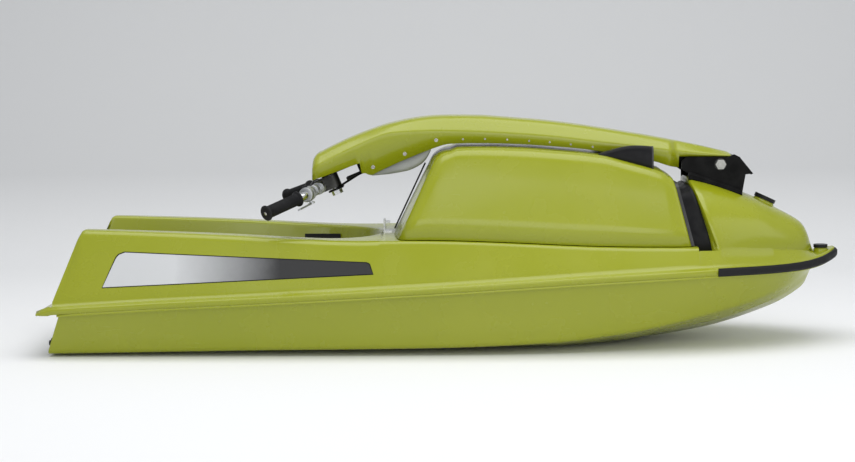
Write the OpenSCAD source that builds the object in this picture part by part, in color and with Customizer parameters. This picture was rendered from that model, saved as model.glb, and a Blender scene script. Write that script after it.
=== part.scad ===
// Stand-up personal watercraft: glass-fibre hull and deck, lift-up handle pole, jet pump.
// +X points to the bow, +Y to port, +Z up. The origin is the bottom centre of the craft.

/* [Overall] */
// Length from the stern flange to the nose of the bumper
length = 2085; // [1750:5:2500]
// Width over the bonding flange
beam = 615; // [520:5:740]
// Thickness of the glass-fibre skins
skin = 6; // [4:0.5:8]

/* [Bonding flange] */
// Height of the flange's upright outer face
flange_face = 14; // [10:1:20]
// Height of the whole flange above its lower edge
flange_height = 22; // [18:1:30]
// Width of the sloping top of the flange
flange_bevel = 18; // [12:1:24]
// How far the flange stands out from the hull's side
flange_reach = 26; // [20:1:32]
// Gap of the bond between hull and deck
bond_gap = 0.5; // [0.2:0.1:1]

/* [Hull bottom] */
// Half-width of the flat pad that the craft stands on
pad_half = 112; // [105:1:130]
// Half-width of the pump tunnel inside
tunnel_half = 88; // [84:1:96]

/* [Bumper] */
// Thickness of the rubber bumper outside the flange
bumper_thick = 9; // [6:1:14]
// Height of the rubber bumper
bumper_height = 21; // [16:1:28]

/* [Hood] */
// Gap between hood and deck lip
hood_gap = 3; // [1:0.5:5]
// Gap between hood and the pole above it
pole_gap = 8; // [6:1:12]
// Width of the air scoops
scoop_width = 42; // [30:1:50]

/* [Handle pole] */
// Half-width of the pole's skirts
pole_half = 96; // [85:1:105]
// Half-width of the pole's front arm
arm_half = 60; // [50:1:66]
// Thickness of the pole's skin
pole_skin = 5; // [4:0.5:8]
// Diameter of the pivot bolt
bolt_d = 16; // [12:1:20]
// Radial running clearance of the pivot bolt
bolt_clear = 0.08; // [0.05:0.01:0.1]
// Thickness of the bracket's plates
plate = 6; // [4:0.5:8]
// Side clearance between bracket and yoke
yoke_clear = 5; // [3:0.5:8]

/* [Handlebar] */
// Width over the grips
bar_width = 584; // [520:4:680]
// Outer diameter of the bar tube
bar_d = 22; // [19:0.5:25]
// Outer diameter of the grips
grip_d = 32; // [28:1:36]
// Length of each grip
grip_length = 116; // [100:1:130]
// Tilt of the handlebar's plane, down to the stern
bar_tilt = 22; // [10:1:30]

/* [Jet pump] */
// Height of the pump's axis
pump_z = 62; // [58:1:66]
// Bore of the pump housing
pump_bore = 96; // [86:1:100]
// Wall of the pump castings
pump_wall = 5; // [4:0.5:7]
// Gap between impeller and housing
tip_gap = 1.2; // [0.8:0.1:2]
// Diameter of the drive shaft
shaft_d = 22; // [18:1:26]

/* [Hidden] */
$fn = 48;

// The lines below are drawn for a craft of these sizes, and stretch with it.
lines_length = 2085;
lines_beam = 615;
function X(x) = x * length / lines_length;
function Y(y) = y * beam / lines_beam;
function unX(x) = x * lines_length / length;

// ---- Curves: tables of [distance forward of midships, value] on the drawn lines ----
// Lower edge of the bonding flange
sheer_line = [[-1042, 112], [-750, 129], [-500, 141], [0, 167], [400, 189], [690, 198], [900, 200],
    [980, 208], [1042, 226]];
// Outer edge of the gunwale, then the shoulder beside hood and bow
shoulder_line = [[-1042, 316], [-935, 316], [-750, 310], [-550, 301], [-370, 290], [-243, 285], [-40, 285],
    [138, 279], [391, 266], [632, 259], [806, 255], [924, 246], [971, 238], [1042, 250]];
// Centre line of the bow cowl's top
cowl_line = [[560, 457], [602, 447], [700, 424], [792, 392], [837, 373], [872, 354], [917, 330],
    [944, 311], [957, 291], [966, 268], [971, 250]];
// Half-width of the bow cowl at its base
cowl_half_line = [[600, 222], [680, 203], [806, 152], [870, 117], [924, 80], [950, 54], [965, 28], [971, 10]];
// Keel and chine
keel_line = [[-1042, 0], [430, 0], [519, 4], [680, 30], [760, 51], [840, 79], [893, 102], [946, 137],
    [960, 155], [969, 180]];
chine_line = [[-1042, 7], [-500, 16], [0, 21], [300, 33], [400, 44], [523, 60], [651, 85], [792, 117],
    [870, 142], [921, 163], [950, 178], [969, 186]];
chine_half_line = [[-1042, 236], [-500, 254], [0, 262], [250, 255], [400, 238], [523, 215], [651, 181],
    [792, 132], [870, 97], [921, 66], [950, 42], [969, 16]];
// Underside of the pole over the hood, top of the pole, and the crease between side and top
pole_under_line = [[-208, 456], [-194, 451], [-170, 462], [-105, 491], [-21, 523], [13, 531], [143, 531],
    [273, 523], [404, 509], [549, 482], [609, 468]];
pole_top_line = [[-355, 495], [-333, 511], [-253, 547], [-173, 577], [-119, 591], [-66, 600], [-13, 604],
    [93, 603], [146, 599], [279, 587], [411, 568], [544, 545], [677, 518], [752, 500]];
pole_crease_line = [[-355, 472], [-333, 483], [-249, 522], [-170, 556], [-131, 564], [-13, 567],
    [144, 560], [274, 550], [405, 534], [457, 528], [582, 512], [702, 499], [752, 494]];
belly_line = [[-192, 449], [-150, 452], [-118, 457], [-98, 463], [-86, 472], [-78, 488]];

function segment(t, x, i = 0) = i >= len(t) - 2 || x < t[i + 1][0] ? i : segment(t, x, i + 1);
function slope_at(t, i) = let (a = max(i - 1, 0), b = min(i + 1, len(t) - 1))
    (t[b][1] - t[a][1]) / (t[b][0] - t[a][0]);
// A smooth curve through a table's points, held level past its ends
function curve(t, x) = let (
        i = segment(t, x), h = t[i + 1][0] - t[i][0], u = min(max((x - t[i][0]) / h, 0), 1),
        m0 = slope_at(t, i) * h, m1 = slope_at(t, i + 1) * h)
    (2 * pow(u, 3) - 3 * pow(u, 2) + 1) * t[i][1] + (pow(u, 3) - 2 * pow(u, 2) + u) * m0
    + (3 * pow(u, 2) - 2 * pow(u, 3)) * t[i + 1][1] + (pow(u, 3) - pow(u, 2)) * m1;
function mix(a, b, u) = a + (b - a) * u;
function clamp01(u) = min(max(u, 0), 1);

// ---- Shapes of the craft as functions of the drawn distance x ----
nose_x = unX(length / 2 - bumper_thick - 0.3);
bow_tip = nose_x + 4.5;
stern_x = -lines_length / 2;
function sheer(x) = curve(sheer_line, x);
function shoulder(x) = curve(shoulder_line, x);
function bow_share(x) = clamp01(x / bow_tip);
function flange_half(x) = Y(lines_beam / 2) * (x < 0 ? 0.9 + 0.1 * sin(90 * (1 - x / stern_x))
    : pow(1 - pow(bow_share(x), 3), 0.7));
function flange_at(x) = x < stern_x + 14 ? flange_half(x) - 10 * (1 - (x - stern_x) / 14) : flange_half(x);
function tumble(x) = mix(35, 24, clamp01((x + 200) / 800));
function shoulder_half(x) = x < 600 ? flange_half(x) - flange_bevel - tumble(x)
    : mix(flange_half(x) - flange_bevel - tumble(x), Y(curve(cowl_half_line, x)), clamp01((x - 600) / 80));
function floor_z(x) = sheer(x) + flange_height + 4;

// ---- Sheets: a grid of points, the same grid moved through the skin, and walls round its edges ----
function grid_normal(g, i, j) = let (
        n = len(g) - 1, m = len(g[0]) - 1,
        c = cross(g[min(i + 1, n)][j] - g[max(i - 1, 0)][j], g[i][min(j + 1, m)] - g[i][max(j - 1, 0)]))
    c / norm(c);
function moved_grid(g, t) = [for (i = [0:len(g) - 1]) [for (j = [0:len(g[0]) - 1])
    g[i][j] + t * grid_normal(g, i, j)]];
function flat_list(g) = [for (row = g) each row];
function both_sides(half) = concat([for (p = half) [p.x, -p.y, p.z]],
    [for (k = [len(half) - 2:-1:0]) half[k]]);
function two_triangles(a, b, c, d) = [[a, b, c], [a, c, d]];

// upper and lower are grids of the same size; keep[i][j] says whether a cell is there
module sheet(upper, lower, keep) {
    n = len(upper);
    m = len(upper[0]);
    function up(i, j) = i * m + j;
    function low(i, j) = n * m + i * m + j;
    function there(i, j) = i >= 0 && j >= 0 && i < n - 1 && j < m - 1 && keep[i][j];
    faces = [for (i = [0:n - 2]) for (j = [0:m - 2]) if (there(i, j)) each concat(
        two_triangles(up(i, j), up(i, j + 1), up(i + 1, j + 1), up(i + 1, j)),
        two_triangles(low(i, j), low(i + 1, j), low(i + 1, j + 1), low(i, j + 1)),
        there(i, j - 1) ? [] : two_triangles(up(i, j), up(i + 1, j), low(i + 1, j), low(i, j)),
        there(i, j + 1) ? []
            : two_triangles(up(i + 1, j + 1), up(i, j + 1), low(i, j + 1), low(i + 1, j + 1)),
        there(i - 1, j) ? [] : two_triangles(up(i, j + 1), up(i, j), low(i, j), low(i, j + 1)),
        there(i + 1, j) ? []
            : two_triangles(up(i + 1, j), up(i + 1, j + 1), low(i + 1, j + 1), low(i + 1, j)))];
    polyhedron(concat(flat_list(upper), flat_list(lower)), faces);
}
function all_cells(g) = [for (i = [0:len(g) - 2]) [for (j = [0:len(g[0]) - 2]) true]];

// ---- Hull ----
transom_top = -986;
transom_foot = -1015;
tunnel_front = -450;
fill_front = 880;
stem_end = 969;
hull_stations = concat([-1003, -1002], [-960, -900], [for (x = [-820:100:-520]) x], [tunnel_front],
    [for (x = [-350:110:310]) x], [for (x = [370:50:820]) x], [fill_front, fill_front + 1],
    [905, 930, 950, 962, stem_end, 972],
    [for (d = [47, 32, 19, 9]) nose_x - d]);
// Half of one outer section: rim edge, rim root, two points down the side, chine, pad edge, tunnel edge, keel
function hull_half(x) = let (
        w = flange_half(x), z = sheer(x) - bond_gap - 5, bare = x > stem_end,
        k = curve(keel_line, x), c = bare ? z : min(curve(chine_line, x), z - 1),
        root = max(w - flange_reach, 4), cw = bare ? root * 0.8 : min(Y(curve(chine_half_line, x)), root - 1),
        kz = bare ? z : k, pad = min(pad_half, cw * 0.55), tun = min(tunnel_half, pad * 0.8))
    [[w, z], [root, z], [mix(root, cw, 0.35), mix(z, c, 0.35)], [mix(root, cw, 0.7), mix(z, c, 0.7)],
        [cw, c], [pad, mix(kz, c, bare ? 0 : clamp01((x - 300) / 250) * 0.45)],
        [tun, mix(kz, c, bare ? 0 : clamp01((x - 300) / 250) * 0.36)], [0, kz]];
function hull_lean(x, z) = x > -990 ? 0 : -(111 - z) * (transom_top - transom_foot) / 97 * 0.5;
function hull_row(x) = both_sides([for (p = hull_half(x)) [X(x + hull_lean(x, p[1])), p[0], p[1]]]);
function filled(x) = x < -1002.5 || x > fill_front + 0.5;
module hull() {
    outer = [for (x = hull_stations) hull_row(x)];
    shell = moved_grid(outer, skin);
    inner = [for (i = [0:len(outer) - 1]) let (x = hull_stations[i], top = sheer(x) - bond_gap)
        [for (j = [0:len(outer[0]) - 1]) let (p = outer[i][j], s = shell[i][j])
            j == 0 || j == len(outer[0]) - 1 || filled(x) ? [p.x, p.y, top] : [s.x, s.y, min(s.z, top)]]];
    keep = [for (i = [0:len(outer) - 2]) [for (j = [0:len(outer[0]) - 2])
        !(hull_stations[i] < tunnel_front - 1 && j >= 6 && j <= 7)]];
    color("yellowgreen") sheet(inner, outer, keep);
}

// ---- Deck ----
tray_half = 178;
tray_bend = -330;
tray_front = -168;
floor_front = -222;
opening_rear = -95;
opening_front = 612;
groove_rear = 648;
groove_front = 684;
groove_depth = 13;
cowl_rear = 628;
cowl_lean = 76;
cowl_front = 971;
lip_rise = 8;
cowl_steps = [0, 13, 26, 38, 50, 61, 71, 81, 90];
// Half-width of the tray at distance x for a wall level u: 0 at the floor, 1 at the top
function tray_at(x, u) = let (front = mix(floor_front, tray_front, u))
    Y(tray_half - 12 * (1 - u)) * (x < tray_bend ? 1
        : sqrt(max(0, 1 - pow((x - tray_bend) / (front - tray_bend), 2))));
// Flange and side: the same four points at every station
function side_half(x, sw, sz) = let (w = flange_at(x), z = sheer(x))
    [[w, z], [w, z + flange_face], [w - flange_bevel, z + flange_height],
        [mix(w - flange_bevel, sw, 0.5), mix(z + flange_height, sz, 0.5)]];
function tray_row(x) = let (
        sw = shoulder_half(x), sz = shoulder(x), top = sz + lip_rise, fz = floor_z(x),
        u0 = clamp01((x - floor_front) / (tray_front - floor_front)), u1 = mix(u0, 1, 0.1),
        wi = max(tray_at(x, 1), 4), wf = max(tray_at(x, u1), 3), z0 = mix(fz, top, u0))
    concat(side_half(x, sw, sz), [[sw, sz], [sw - 13, sz + 7], [sw - 30, top + 1.5],
        [wi + 9, top], [wi, top - 4],
        [wf, mix(fz, top, u1)], [wf * 0.86, z0], [wf * 0.45, z0], [0, z0]]);
function lip_row(x) = let (sw = shoulder_half(x), sz = shoulder(x), wo = sw - 46, z = sz + lip_rise)
    concat(side_half(x, sw, sz), [[sw, sz], [sw - 9, z - 2], [sw - 28, z], [wo, z], [wo * 0.8, z],
        [wo * 0.6, z], [wo * 0.4, z], [wo * 0.2, z], [0, z]]);
function groove_row(x) = let (sw = shoulder_half(x), z = shoulder(x) - groove_depth)
    concat(side_half(x, sw, z + groove_depth), [[sw, z], for (k = [7:-1:0]) [sw * k / 7.6, z]]);
function nose_row(x) = let (w = flange_half(x), z = sheer(x) + flange_height)
    concat([[w, z - flange_height], [w, z - flange_height + flange_face], [w * 0.84, z], [w * 0.76, z]],
        [for (k = [8:-1:0]) [w * 0.085 * k, z + 1]]);
// The gunwales' ends slope: low points lie further aft
function end_x(z) = -931 - 82 * clamp01((316 - z) / 180);
function cowl_row(xt) = let (
        xb = min(xt + cowl_lean * clamp01((800 - xt) / 198), cowl_front),
        sw = max(Y(curve(cowl_half_line, xb)), 8),
        sz = shoulder(xb), zt = max(curve(cowl_line, xt), sz + 2))
    concat([for (p = side_half(xb, sw, sz)) [X(xb), p[0], p[1]]],
        [for (a = cowl_steps) let (z = sz + (zt - sz) * pow(sin(a), 0.8))
            [X(mix(xb, xt, (z - sz) / (zt - sz))), sw * pow(cos(a), 0.8), z]]);
function stern_row(f) = let (w = flange_at(stern_x + 30 * f), z = sheer(stern_x), t = z + flange_height - 4)
    [for (p = concat([[w, z], [w, z + flange_face - 4], [w - 10, t]],
            [for (k = [1:10]) [max(w - 10 - 28 * k, 0), t]]))
        [X(stern_x + 36 * f), p[0], p[1]]];
function end_row(f) = let (h = tray_row(-925), own = side_half(-1000 + 76 * f, 250, 316)) [for (k = [0:12])
    let (drop = 8 * (1 - f) * clamp01((h[k][1] - 150) / 60))
    k < 3 ? [X(-1000 + 76 * f), own[k][0], own[k][1]]
    : [X(f == 1 ? -924 : end_x(h[k][1] - drop)), h[k][0] - 0.4 * drop, h[k][1] - drop]];
function placed(x, half) = [for (p = half) [X(x), p[0], p[1]]];
// Stations: [kind of section, distance]
deck_stations = concat([[0, 0], [0, 1], [1, 0], [1, 1]],
    [for (x = [-905, -850, -780, -700, -620, -540, -460, -390, tray_bend, -300, -272, -248, -232, floor_front,
        -208, -194, -181, -172]) [2, x]],
    [for (x = [-150, opening_rear - 18, opening_rear, -40, 30, 100, 180, 260, 340, 400, 460, 510, 560,
        opening_front, groove_rear - 6]) [3, x]],
    [[4, groove_rear], [4, groove_front]],
    [for (x = [cowl_rear, 642, 664, 690, 730, 770, 805, 837, 866, 893, 917, 934, 946, 956, 963, 968]) [5, x]],
    [for (d = [53, 39, 26, 15, 6, 0]) [6, nose_x - d]]);
function deck_row(s) = s[0] == 0 ? stern_row(s[1]) : s[0] == 1 ? end_row(s[1])
    : s[0] == 2 ? placed(s[1], tray_row(s[1])) : s[0] == 3 ? placed(s[1], lip_row(s[1]))
    : s[0] == 4 ? placed(s[1], groove_row(s[1]))
    : s[0] == 5 ? cowl_row(s[1]) : placed(s[1], nose_row(s[1]));
function in_opening(s, t) = s[0] == 3 && t[0] == 3 && s[1] > opening_rear - 1 && t[1] < opening_front + 1;
module deck() {
    outer = [for (s = deck_stations) both_sides(deck_row(s))];
    shell = moved_grid(outer, -skin);
    m = len(outer[0]);
    inner = [for (i = [0:len(outer) - 1]) [for (j = [0:m - 1]) let (p = outer[i][j])
        j == 0 || j == m - 1 ? [p.x, p.y - sign(p.y) * skin, p.z] : shell[i][j]]];
    keep = [for (i = [0:len(outer) - 2]) [for (j = [0:m - 2])
        !(in_opening(deck_stations[i], deck_stations[i + 1]) && j >= 7 && j < m - 8)]];
    color("yellowgreen") sheet(outer, inner, keep);
}

// ---- Bow bumper: a rubber strip round the flange ----
bumper_path = concat([for (x = [690, 740, 790, 840, 880, 915, 945, 970]) [x, flange_half(x)]],
    [for (d = [45, 32, 21, 12, 5]) [nose_x - d, flange_half(nose_x - d)]],
    [[nose_x + 0.3, 7], [nose_x + 0.3, 0]]);
function out_of(p, i) = let (a = p[max(i - 1, 0)], b = p[min(i + 1, len(p) - 1)],
        t = [X(b.x) - X(a.x), b.y - a.y])
    i == len(p) - 1 ? [1, 0] : [-t.y, t.x] / norm(t);
function bumper_row(i) = let (
        p = bumper_path[i], n = out_of(bumper_path, i), z = sheer(min(p.x, nose_x)) - 2, h = bumper_height,
        t = i == 0 ? bumper_thick * 0.5 : bumper_thick)
    [for (q = [[0.9, 0], [t * 0.6, 0], [t, h * 0.25], [t, h * 0.75], [t * 0.6, h], [0.9, h]])
        [X(p.x) + n.x * q[0], p.y + n.y * q[0], z + q[1]]];
module bow_bumper() {
    last = len(bumper_path) - 1;
    port = [for (i = [0:last]) bumper_row(i)];
    rows = concat(port, [for (i = [last - 1:-1:0]) [for (q = port[i]) [q.x, -q.y, q.z]]]);
    n = len(rows);
    faces = concat([for (i = [0:n - 2]) for (k = [0:5]) let (k2 = (k + 1) % 6)
            each two_triangles(i * 6 + k, i * 6 + k2, (i + 1) * 6 + k2, (i + 1) * 6 + k)],
        [[5, 4, 3, 2, 1, 0], [for (k = [0:5]) (n - 1) * 6 + k]]);
    color("#1c1c1e") polyhedron(flat_list(rows), faces);
}

// ---- Hood ----
hood_rear = -18;
hood_end = 592;
hood_top_line = [[-18, 521], [0, 525], [142, 525], [270, 519], [380, 509], [424, 497], [540, 464],
    [592, 444]];
function pole_under(x) = x < -222 ? 439 + (x + 349) * 44 / 127 : x > 612 ? 492 : curve(pole_under_line, x);
function hood_top(x) = min(curve(hood_top_line, x), pole_under(x) - pole_gap);
function hood_share(x) = (x - hood_rear) / (hood_end - hood_rear);
function hood_foot(x) = x + mix(-98, 36, hood_share(x));
function hood_section(xt, inset) = let (
        xb = hood_foot(xt), wb = shoulder_half(xb) - 8, zb = shoulder(xb) + lip_rise + hood_gap,
        zt = hood_top(xt), zc = zt - 26, wc = Y(mix(196, 172, hood_share(xt))),
        half = concat([for (u = [0, 0.35, 0.7, 1]) [mix(wb, wc, u), mix(zb, zc, u)]],
            [for (a = [30, 60, 90]) [wc - 30 * (1 - cos(a)), zc + 26 * sin(a)]],
            [for (k = [2, 1, 0]) [(wc - 30) * k / 3, zt]]))
    [for (p = half) let (z = zb + (p[1] - zb) * (1 - inset / (zt - zb)), y = p[0] * (1 - inset / wb))
        [mix(xb, xt, (z - zb) / (zc - zb)), y, z]];
function hood_bulge(y) = 20 * (1 - pow(y / 252, 2));
function rear_cut(inset, back) = [for (p = hood_section(hood_rear, inset))
    [X(p.x - hood_bulge(p.y) * (1 - back / 60) + back), p.y, p.z]];
function front_cut(inset, ahead) = [for (p = hood_section(hood_end, inset)) [X(p.x - ahead), p.y, p.z]];
hood_cells = concat(
    [[for (p = hood_section(hood_rear, 14)) [X(hood_foot(hood_rear) - hood_bulge(p.y)), p.y,
        shoulder(-116) + lip_rise + hood_gap]]],
    [rear_cut(22, 0), rear_cut(8, 5), rear_cut(0, 20)],
    [for (x = [45, 100, 160, 220, 280, 340, 380, 400, 424, 460, 500, 540])
        [for (p = hood_section(x, 0)) [X(p.x), p.y, p.z]]],
    [front_cut(0, 8), front_cut(5, 1), front_cut(12, 0)],
    [[for (p = hood_section(hood_end, 16)) [X(hood_foot(hood_end) + 3 - 3 * pow(p.y / 200, 2)), p.y,
        shoulder(hood_foot(hood_end)) + lip_rise + hood_gap]]]);
module engine_hood() {
    outer = [for (row = hood_cells) both_sides(row)];
    inner = [for (row = moved_grid(outer, -5)) [for (q = row)
        [q.x, q.y, max(q.z, shoulder(unX(q.x)) + lip_rise + hood_gap - 0.8)]]];
    color("yellowgreen") sheet(outer, inner, all_cells(outer));
}
// Grey edge trim on the hood's front
module hood_seal() {
    rows = [for (q = [[14, -1], [14, -9]]) both_sides([for (p = hood_section(hood_end, q[0]))
        [X(p.x) - q[1], p.y, p.z]])];
    inner = [for (q = [[22, -1], [22, -9]]) both_sides([for (p = hood_section(hood_end, q[0]))
        [X(p.x) - q[1], p.y, p.z]])];
    color("#8f9294") sheet(rows, inner, all_cells(rows));
}
scoop_line = [[397, 5], [425, 15], [450, 29], [475, 40], [505, 49], [537, 58]];
scoop_y = 126;
module hood_scoop(side) {
    arch = [[-1, 0], [-0.97, 0.5], [-0.7, 0.86], [0, 1], [0.7, 0.86], [0.97, 0.5], [1, 0]];
    rows = [for (s = scoop_line) [for (q = arch)
        [X(s[0]), side * scoop_y + q[0] * scoop_width / 2, hood_top(s[0]) - 3 + (s[1] + 3) * q[1]]]];
    color("#151517") sheet(rows, moved_grid(rows, -3), all_cells(rows));
}
module hood_scoop_right() hood_scoop(-1);
module hood_scoop_left() hood_scoop(1);
strap_tilt = 25.4;
module hood_strap() color("#18181a") translate([X(-133.6), 0, 302]) rotate([0, strap_tilt, 0])
    translate([-4.6, -14, 0]) cube([4, 28, 192]);
module strap_catch() color("#a8abad") translate([X(-166), -17, shoulder(-150) + lip_rise + 0.6]) {
    cube([24, 34, 4]);
    cube([5, 34, 34]);
    translate([0, 4, 24]) cube([17, 26, 5]);
}

// ---- Fittings on the deck ----
mat_stations = [-905, -850, -780, -700, -620, -540, -460, -390, -345];
module tray_mat() {
    function mat_row(x, side, lift) =
        [for (y = side > 0 ? [8, 138] : [-138, -8]) [X(x), Y(y), floor_z(x) + lift]];
    color("#232425") for (side = [-1, 1]) let (top = [for (x = mat_stations) mat_row(x, side, 4.3)])
        sheet(top, [for (x = mat_stations) mat_row(x, side, 0.3)], all_cells(top));
}
module label_plate() color("#141416") translate([X(-342), Y(tray_half) - 14.6, floor_z(-342) + 48])
    rotate([-5.5, 0, -4]) translate([-50, 0, 0]) cube([100, 1.6, 50]);
module engine_block() color("#3b3d40") translate([X(60), 0, 0]) {
    translate([0, -100, 26]) cube([300, 200, 240]);
    for (side = [-1, 1]) translate([30, side * 62 - 12, skin + 0.1]) cube([180, 24, 20]);
}
module fuel_cap() color("#161618") translate([X(846), 0, curve(cowl_line, 846)]) rotate([0, 25, 0]) {
    translate([0, 0, -4]) cylinder(h = 8, d = 46);
    translate([0, 0, 4]) cylinder(h = 10, d = 58);
}
module bow_button() color("#161618") translate([X(999), 0, sheer(999) + flange_height]) {
    cylinder(h = 9, d = 26);
    translate([0, 0, 9]) cylinder(h = 8, d = 37);
}

// ---- Pole bracket and pivot ----
pivot_x = 720;
pivot_z = 471;
plate_in = arm_half + yoke_clear;
module bracket_plate() rotate([90, 0, 0]) linear_extrude(plate) difference() {
    polygon([[-101, 8], [-90, 19], [20, 19], [36, 26], [50, 19], [86, -25], [66, -27], [58, -74],
        [-86, -22], [-101, -12]]);
    circle(d = bolt_d);
}
module pole_bracket() color("#101012") translate([X(pivot_x), 0, pivot_z]) {
    translate([0, -plate_in, 0]) bracket_plate();
    translate([0, plate_in + plate, 0]) bracket_plate();
    translate([0, -plate_in, 0]) rotate([-90, 0, 0]) linear_extrude(2 * plate_in)
        polygon([[50, -19], [86, 25], [82, 28], [46, -15]]);
    translate([0, -plate_in, 0]) rotate([-90, 0, 0]) linear_extrude(2 * plate_in)
        polygon([[60, 68], [64, 40], [59, 40], [54, 66]]);
}
module pivot_bolt() color("#c9cbcc") translate([X(pivot_x), 0, pivot_z]) rotate([90, 0, 0]) {
    span = plate_in + plate;
    cylinder(h = 2 * span, d = bolt_d, center = true);
    for (side = [-1, 1]) translate([0, 0, side * (span + 5)]) {
        cylinder(h = 10, d = 27.7, center = true, $fn = 6);
        translate([0, 0, side * 6.5]) cylinder(h = 5, d = bolt_d, center = true);
    }
}

// ---- Jet pump ----
roof_z = sheer(stern_x) + 10;
tunnel_w = tunnel_half - 0.5;
tunnel_x = X(-1001);
tunnel_length = X(tunnel_front) - tunnel_x - 1;
pump_x = X(-760);
outlet_x = pump_x - 100;
nozzle_x = outlet_x - 90;
module along_x(x) translate([x, 0, pump_z]) rotate([0, -90, 0]) children();
module pump_tunnel() color("#8f9a3c") difference() {
    translate([tunnel_x, -tunnel_w, 0.5]) cube([tunnel_length, 2 * tunnel_w, roof_z - 0.5]);
    translate([tunnel_x - 1, -tunnel_w + 5, -1]) cube([tunnel_length - 59, 2 * tunnel_w - 10, roof_z - 4]);
    rotate([90, 0, 0]) linear_extrude(2 * tunnel_w - 10, center = true)
        polygon([[tunnel_x + tunnel_length - 61, -1], [tunnel_x + tunnel_length - 61, roof_z - 5],
            [tunnel_x + tunnel_length - 56, roof_z - 5], [tunnel_x + tunnel_length - 8, -1]]);
    along_x(tunnel_x + tunnel_length + 1) cylinder(h = 120, d = shaft_d + 0.16);
}
module ride_plate() color("#9fa3a6") translate([tunnel_x + 1, -tunnel_w + 6, 0])
    cube([X(-720) - tunnel_x - 1, 2 * tunnel_w - 12, 5]);
module intake_grate() color("#9fa3a6") {
    for (y = [-60, -36, -12, 12, 36, 60]) translate([X(-706), y - 2.5, 2]) cube([X(-480) - X(-706), 5, 9]);
    translate([X(-716), -tunnel_w + 6, 0.5]) cube([12, 2 * tunnel_w - 12, 10]);
    translate([X(-480) - 1, -tunnel_w + 6, 0.5]) cube([10, 2 * tunnel_w - 12, 10]);
}
module pump_housing() color("#8f9396") difference() {
    union() {
        along_x(pump_x) cylinder(h = 100, d = pump_bore + 2 * pump_wall);
        translate([pump_x - 7, -tunnel_w + 5.2, 7]) cube([6, 2 * tunnel_w - 10.4, roof_z - 13]);
    }
    along_x(pump_x + 1) cylinder(h = 103, d = pump_bore);
}
module pump_outlet() color("#a3a7aa") {
    difference() {
        along_x(outlet_x) union() {
            cylinder(h = 10, d = pump_bore + 2 * pump_wall);
            translate([0, 0, 10]) cylinder(h = 68, d1 = pump_bore + 2 * pump_wall - 8, d2 = 52);
        }
        along_x(outlet_x + 0.01) cylinder(h = 60, d1 = pump_bore, d2 = 50);
        along_x(outlet_x) cylinder(h = 90, d = 44);
    }
    for (a = [0:60:300]) along_x(outlet_x) rotate([0, 0, a]) translate([0, 16, 5]) cube([3, 28, 25]);
    difference() {
        along_x(outlet_x - 4) cylinder(h = 36, d1 = 38, d2 = 26);
        along_x(outlet_x + 1) cylinder(h = 30, d = shaft_d + 0.16);
    }
    for (side = [-1, 1]) difference() {
        translate([nozzle_x - 10, -12, pump_z + side * 44 - 2.5]) cube([62, 24, 5]);
        translate([nozzle_x, 0, pump_z + side * 44]) cylinder(h = 20, d = 12.16, center = true);
    }
    for (side = [-1, 1]) translate([outlet_x - 38, -4, pump_z + side * 41 - 4]) cube([16, 8, 8]);
}
module exhaust_outlet() color("#2a2b2d") difference() {
    translate([X(-1018), Y(150), 72]) rotate([0, 90, 0]) cylinder(h = 26, d = 44);
    translate([X(-1018) - 1, Y(150), 72]) rotate([0, 90, 0]) cylinder(h = 16, d = 36);
}
module drain_plugs() color("#1b1b1d") for (side = [-1, 1])
    translate([X(-1017), side * Y(205), 32]) rotate([0, 90, 0]) {
        cylinder(h = 10, d = 26);
        translate([0, 0, -6]) cylinder(h = 6, d = 14, $fn = 6);
    }
module impeller() color("#b9bcbe") intersection() {
    along_x(pump_x - 12) cylinder(h = 76, d = pump_bore - 2 * tip_gap);
    difference() {
        union() {
            along_x(pump_x - 15) cylinder(h = 60, d = 38);
            for (a = [0:120:240]) along_x(pump_x - 45) rotate([0, 0, a]) translate([0, 10, 0])
                rotate([0, 58, 0]) translate([-33, 0, -1.5]) cube([66, 40, 3]);
        }
        along_x(pump_x) cylinder(h = 90, d = shaft_d);
    }
}
module drive_shaft() color("#b0b3b5") along_x(X(52)) cylinder(h = X(52) - outlet_x + 25, d = shaft_d);
module steering_nozzle() color("#a3a7aa") {
    difference() {
        along_x(nozzle_x) cylinder(h = 66, d1 = 76, d2 = 64);
        along_x(nozzle_x + 1) cylinder(h = 68, d1 = 68, d2 = 56);
    }
    for (side = [-1, 1]) translate([nozzle_x, 0, pump_z + side * 41.2]) {
        cylinder(h = 11, d = 12, center = true);
        translate([-8, 0, -side * 5]) cube([16, 12, 2], center = true);
    }
}
module nozzle_arm() color("#8b8f92") translate([nozzle_x - 20, 36, pump_z - 3]) difference() {
    cube([24, 30, 6]);
    translate([9, 22, -1]) cylinder(h = 8, d = 7);
}

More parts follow.
